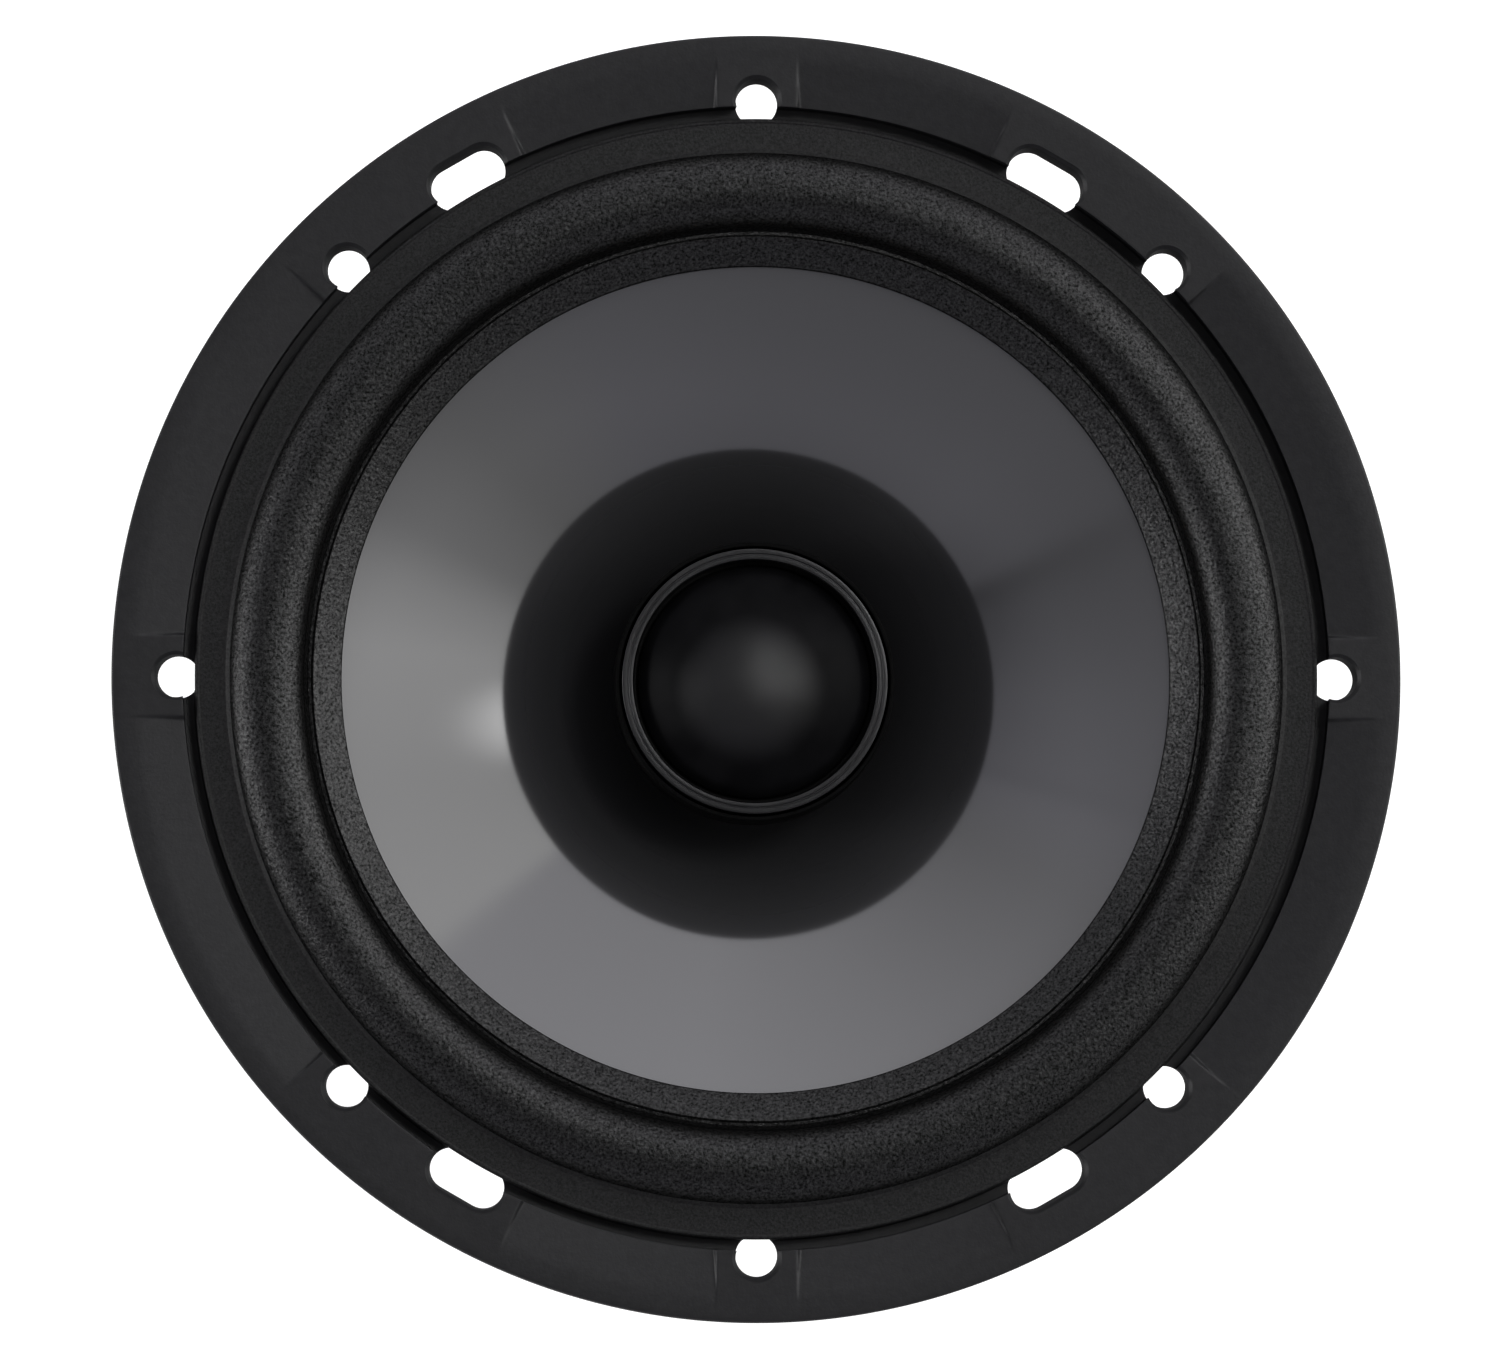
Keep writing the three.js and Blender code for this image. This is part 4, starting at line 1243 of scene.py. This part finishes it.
def make_post():
    bore, stud, collar = 2.5, 4.0, 7.2
    crest, root = 3.98, 3.55
    thread = []
    for k in range(9):
        z = POST_LOW + 0.5 + 1.0 * k
        thread += [(root, z), (crest, z + 0.5)]
    shoulder = fillet(
        [
            (stud, POLE_TOP + 0.3),
            (collar, POLE_TOP + 0.3, 0.3),
            (collar, POLE_TOP + 1.6, 0.4),
            (POST_R, POLE_TOP + 2.6, 0.6),
            (POST_R, CUP_LOW - 0.3, 0.3),
            (stud, CUP_LOW - 0.3),
        ]
    )
    outline = [
        (bore, POST_LOW),
        (3.6, POST_LOW),
        *thread,
        (stud, POST_LOW + 10),
        (stud, POLE_TOP + 0.3),
        *shoulder[1:],
        (stud, POST_TOP),
        (bore, POST_TOP),
    ]
    post = turned("tweeter_post", outline, 96)
    dress(post, POST_PLASTIC, "frame", ["tweeter_post"])
    _, low, high = span("post_nut")
    nut = slab("post_nut", hexagon(13), low, high, 0.02)
    below = [(0, low - 1), (6.0, low - 1), (6.6, low), (7.5, low + 0.5)]
    above = [(7.5, high - 0.5), (6.6, high), (6.0, high + 1), (0, high + 1)]
    cut_or_join(nut, [turned("chamfer", below + above, 96)], "INTERSECT")
    cut_or_join(nut, [peg("bore", 4.1, low - 1, high + 1, 64)], "DIFFERENCE")
    dress(nut, ZINC, "frame", ["post_nut"])
    washer_r, low, high = span("post_washer")
    corners = [(BORE_R, low, 0.08), (washer_r, low, 0.2), (washer_r, high, 0.08), (BORE_R, high, 0.08)]
    lathed_piece("post_washer", corners, 96, ZINC)


# ------------------------------------------------------------------ tweeter


def make_tweeter():
    foot, wall = 9.0, 0.8
    floor, slope_top, slope_inside = CUP_LOW + 1.8, 50.6, 51.2
    lathed_piece(
        "tweeter_cup",
        [
            (BORE_R, CUP_LOW, 0.1),
            (foot, CUP_LOW, 1.0),
            (CUP_R - 0.2, slope_top, 1.2),
            (CUP_R - 0.2, CUP_HIGH - 0.9, 0.3),
            (CUP_R - 0.25, CUP_HIGH - 0.35, 0.2),
            (CUP_R - 0.3, CUP_HIGH, 0.15),
            (CUP_R - wall, CUP_HIGH, 0.1),
            (CUP_R - wall, slope_inside, 0.5),
            (foot + 2, floor, 0.5),
            (BORE_R, floor, 0.1),
        ],
        240,
        CUP_PLASTIC_AND_SHADE,
        steps=5,
    )
    inner, outer, groove = 15.8, 17.15, 16.44
    lathed_piece(
        "tweeter_trim_ring",
        [
            (inner, RING_LOW, 0.05),
            (outer, RING_LOW, 0.05),
            (outer, RING_HIGH, 0.10),
            (groove + 0.18, RING_HIGH, 0.06),
            (groove + 0.06, RING_HIGH - 0.14, 0.04),
            (groove - 0.06, RING_HIGH - 0.14, 0.04),
            (groove - 0.18, RING_HIGH, 0.06),
            (inner, RING_HIGH, 0.10),
        ],
        300,
        TRIM_METAL,
        steps=5,
    )

    skin = 0.35
    rise = DOME_TOP - DOME_BASE
    rim = DOME_R + 0.25
    outside = cap(rim, DOME_BASE, rise, 40)
    inside = cap(rim - skin, DOME_BASE, rise - skin, 30)
    dome = turned("tweeter_dome", outside[::-1] + inside, 240, crease=50)
    dress(dome, SILK, "tweeter_dome", ["tweeter_dome"])
    _, roll_low, _ = span("tweeter_surround")
    thick, dip, clamped = 0.25, 0.6, 17.2
    middle, half = (rim + inner) / 2, (inner - rim) / 2
    edge = [
        (rim - 0.25, roll_low),
        *arc((middle, roll_low), (half + 0.1, dip), 180, 360, 14)[1:],
        (clamped, roll_low),
        (clamped, roll_low + thick),
        (inner + 0.1, roll_low + thick),
        *arc((middle, roll_low + thick), (half, dip), 360, 180, 14)[1:],
        (rim - 0.25, roll_low + thick),
    ]
    roll = turned("tweeter_surround", edge, 240, crease=50)
    dress(roll, EDGE_FILM_AND_SHADE, None, ["tweeter_surround"])
    bend_radially(roll)


def make_tweeter_motor():
    wall, floor = 1.5, POT_LOW + 2.4
    lathed_piece(
        "tweeter_pot",
        [
            (BORE_R, POT_LOW, 0.1),
            (10.4, POT_LOW, 0.6),
            (POT_R, floor, 0.8),
            (POT_R, POT_HIGH, 0.3),
            (POT_R - wall, POT_HIGH, 0.2),
            (POT_R - wall, floor, 0.4),
            (BORE_R, floor, 0.1),
        ],
        144,
        ZINC,
    )
    for node, material, slot, edge in (
        ("tweeter_magnet", NICKEL, "neodymium", 0.4),
        ("tweeter_pole_plate", ZINC, "plated_steel", 0.2),
        ("tweeter_damping_felt", FELT, "felt", 0.5),
    ):
        r, low, high = span(node)
        disc = turned(node, fillet([(0, low), (r, low, edge), (r, high, edge), (0, high)]), 120)
        dress(disc, material, "frame", [node])
    r, low, high = span("tweeter_coil")
    pitch, inner = 0.25, 14.0
    outline = [(inner, low)]
    for i in range(int((high - low - 1.5) / pitch)):
        outline += arc((r - pitch / 2, low + pitch * (i + 0.5)), (pitch / 2, pitch / 2), -80, 80, 3)
    outline += [(inner + 0.15, outline[-1][1] + 0.05), (inner + 0.15, high), (inner, high)]
    coil = turned("tweeter_coil", outline, 120, crease=60)
    dress(coil, COPPER, "tweeter_dome", ["tweeter_coil"])


# ------------------------------------------------------------------ terminals and leads

TABS = (("terminal_tab_positive", 10.8, 6.3), ("terminal_tab_negative", -10.8, 4.8))
TAB_FROM, TAB_TO, TAB_THICK, TAB_RISE = -7.0, 1.4, 0.8, 8.0


def blob(name, radius, height, x, y, z):
    """A small mound of solder."""
    outline = cap(radius, z, height, 10)[::-1] + [(0, z - 0.15)]
    outline.insert(-1, (radius * 0.95, z - 0.15))
    return moved(turned(name, outline, 32, crease=60), x, y)


def make_board():
    outline = rounded_rectangle(BOARD_WIDTH, BOARD_HEIGHT, 2.0)
    board = slab("terminal_board", outline, BOARD_GAP, BOARD_TOP, 0.12)
    holes = [peg("hole", 1.75, -1, 4, y=y) for y in RIVET_YS]
    holes += [peg("hole", 0.7, -1, 4, x=x, y=-9.2) for x in (-12.5, 12.5)]
    holes += [peg("hole", 0.6, -1, 4, x=x, y=7.0) for x in (-12.0, 12.0)]
    cut_or_join(board, holes, "DIFFERENCE")
    dress(on_board(board), LAMINATE, "frame", ["terminal_board"])
    foot = BOARD_TOP + 0.3
    for name, x, width in TABS:
        foot_outline = rounded_rectangle(width, TAB_TO - TAB_FROM, 0.4)
        base = slab("base", foot_outline, foot, foot + TAB_THICK, 0.08)
        moved(base, y=(TAB_FROM + TAB_TO) / 2)
        half, top = width / 2, foot + TAB_RISE
        tip = half - 1.0
        upright = [
            (-half, foot + 0.1),
            (half, foot + 0.1),
            (half, top - 1.3),
            (tip, top),
            (-tip, top),
            (-half, top - 1.3),
        ]
        blade = slab("blade", upright, TAB_TO - TAB_THICK, TAB_TO, 0.08)
        flip = Matrix(((1, 0, 0, 0), (0, 0, 1, 0), (0, 1, 0, 0), (0, 0, 0, 1)))
        placed(blade, flip)
        tidy(blade)
        cut_or_join(blade, [base], "UNION")
        eye = placed(peg("eye", 0.9, -3, 3), Matrix.Rotation(math.pi / 2, 4, "X"))
        cut_or_join(blade, [moved(eye, 0, TAB_TO, foot + TAB_RISE - 3.4)], "DIFFERENCE")
        moved(blade, x)
        blade.name = name + "_piece"
        dress(on_board(blade), TIN, "frame", [name])
    for i, y in enumerate(RIVET_YS):
        back, front = -ARM_THICKNESS - 0.3, BOARD_TOP + 0.3
        shank, head = 1.5, 2.6
        rivet = lathed(
            "rivet",
            [
                (0, back - 0.8),
                (1.6, back - 0.75, 0.4),
                (head, back - 0.25, 0.3),
                (head, back, 0.1),
                (shank, back, 0.1),
                (shank, front, 0.1),
                (head, front, 0.1),
                (head, front + 0.25, 0.3),
                (1.6, front + 0.75, 0.4),
                (0, front + 0.8),
            ],
            48,
        )
        moved(rivet, y=y)
        rivet.name = f"board_rivet_{i + 1}_piece"
        dress(on_board(rivet), ZINC, "frame", [f"board_rivet_{i + 1}"])


def make_capacitor():
    """An axial film capacitor: a shrunk sleeve, resin ends and wires bent down to the board."""
    radius, half, y = 3.25, 7.5, 7.0
    z = BOARD_TOP + 0.3 + radius
    lie = Matrix.Translation((0, y * MM, z * MM)) @ Matrix.Rotation(math.pi / 2, 4, "Y")
    sleeve_outline = fillet(
        [
            (0, -half + 0.5),
            (2.4, -half + 0.5, 0.2),
            (2.5, -half, 0.2),
            (radius - 0.2, -half, 0.5),
            (radius, -half + 1.4, 0.6),
            (radius - 0.07, 0),
            (radius, half - 1.4, 0.6),
            (radius - 0.2, half, 0.5),
            (2.5, half, 0.2),
            (2.4, half - 0.5, 0.2),
            (0, half - 0.5),
        ]
    )
    sleeve = placed(turned("capacitor", sleeve_outline, 72), lie)
    dress(on_board(sleeve), BLUE_SLEEVE, "frame", ["capacitor"])
    for side, name in ((1, "capacitor_end_1"), (-1, "capacitor_end_2")):
        inside = half - 0.48
        end = lathed(name, [(0, inside), (2.35, inside, 0.2), (1.9, half + 0.05, 0.4), (0, half + 0.12)], 48)
        flip = Matrix.Identity(4) if side > 0 else Matrix.Rotation(math.pi, 4, "X")
        dress(on_board(placed(placed(end, flip), lie)), EPOXY, "frame", [])
        leg_x = side * 12.0
        corners = [(side * (half - 0.3), y, z), (leg_x, y, z), (leg_x, y, BOARD_TOP + 0.2)]
        leg = wire(name.replace("end", "leg"), eased_route(corners, 1.4, 0.3), 0.35, 12)
        pad = blob("pad", 1.1, 0.8, leg_x, y, BOARD_TOP + 0.16)
        dress(on_board(joined(leg.name, [leg, pad])), SOLDER, "frame", [])


LEAD_R = 0.6
TINSEL_R = 0.63


def make_leads():
    """The tweeter's leads go down the hollow post, back through the boot's notch and up to the tabs."""
    x, rear_z, side_y = 0.75, 1.5, -46.4
    for name, tab, side, material, slot in (
        ("tweeter_lead_positive", TABS[0][1], 1, RED_PVC, "wire_red"),
        ("tweeter_lead_negative", TABS[1][1], -1, BLACK_PVC, "wire_black"),
    ):
        corners = [
            (side * x, 0, 50.5),
            (side * x, 0, rear_z),
            (side * x, side_y, rear_z),
            (side * x, side_y, 14),
            (0.86 * tab, side_y - 0.6, 28),
            board_point(tab, -BOARD_HEIGHT / 2 - 1.5, BOARD_TOP + 1.4),
            board_point(tab, TAB_FROM - 1.6, BOARD_TOP + 1.2),
        ]
        lead = wire(name, eased_route(corners, 3.0), LEAD_R, 18)
        dress(lead, material, "frame", [name])
        bared = board_point(tab, TAB_FROM - 2.2, BOARD_TOP + 1.2)
        soldered = board_point(tab, TAB_FROM + 1.2, BOARD_TOP + 1.25)
        core = wire("core", eased_route([bared, soldered], 1), 0.32, 10)
        mound = on_board(blob("mound", 1.5, 0.75, tab, TAB_FROM + 1.6, BOARD_TOP + 0.3 + TAB_THICK + 0.02))
        tip = joined(name + "_solder", [core, mound])
        dress(tip, SOLDER, "frame", [])


def make_tinsel():
    """Slack braided leads from the board to the back of the cone, glued where they end."""

    def plait(turns, along):
        twist = 2 * math.pi * along / 2.4
        return 1 + 0.11 * np.maximum(np.sin(4 * turns + twist), np.sin(4 * turns - twist))

    end_r, end_x, end_z, glue_r = 26.1, 9.0, 46.2, 1.7
    for name, side in (("tinsel_lead_positive", 1), ("tinsel_lead_negative", -1)):
        end = np.array((side * end_x, -math.sqrt(end_r**2 - end_x**2), end_z))
        into_cone = np.array((0, 0.5, 0.87))
        corners = [
            board_point(side * 12.5, -BOARD_HEIGHT / 2 - 1.4, BOARD_GAP + BOARD_THICKNESS / 2),
            (side * 12.3, -49, 38.2),
            (side * 11.8, -44.5, 41.4),
            (side * 10.6, -34, 41.6),
            end - 3 * into_cone,
            end + 0.35 * into_cone,
        ]
        lead = wire(name, eased_route(corners, 4.5, 0.16), TINSEL_R, 24, plait)
        dress(lead, BRAID, None, [name])
        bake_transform(lead)
        drop = cap(glue_r, 0, 0.9, 10)[::-1] + [(glue_r - 0.1, -0.3), (0, -0.3)]
        glue_drop = turned(name + "_glue", drop, 40, crease=60)
        tilt = Vector((0, 0, 1)).rotation_difference(Vector(-into_cone))
        normal_at = Vector(end * MM) + Vector(into_cone) * 0.55 * MM
        placed(glue_drop, Matrix.Translation(normal_at) @ tilt.to_matrix().to_4x4())
        dress(glue_drop, GLUE, "cone", [])


add_camera()
add_lights()
add_floor()
make_basket()
make_gasket()
make_surround()
make_cone()
make_spider()
make_voice_coil()
make_magnet_system()
make_motor_screws()
make_boot()
make_post()
make_tweeter()
make_tweeter_motor()
make_board()
make_capacitor()
make_leads()
make_tinsel()
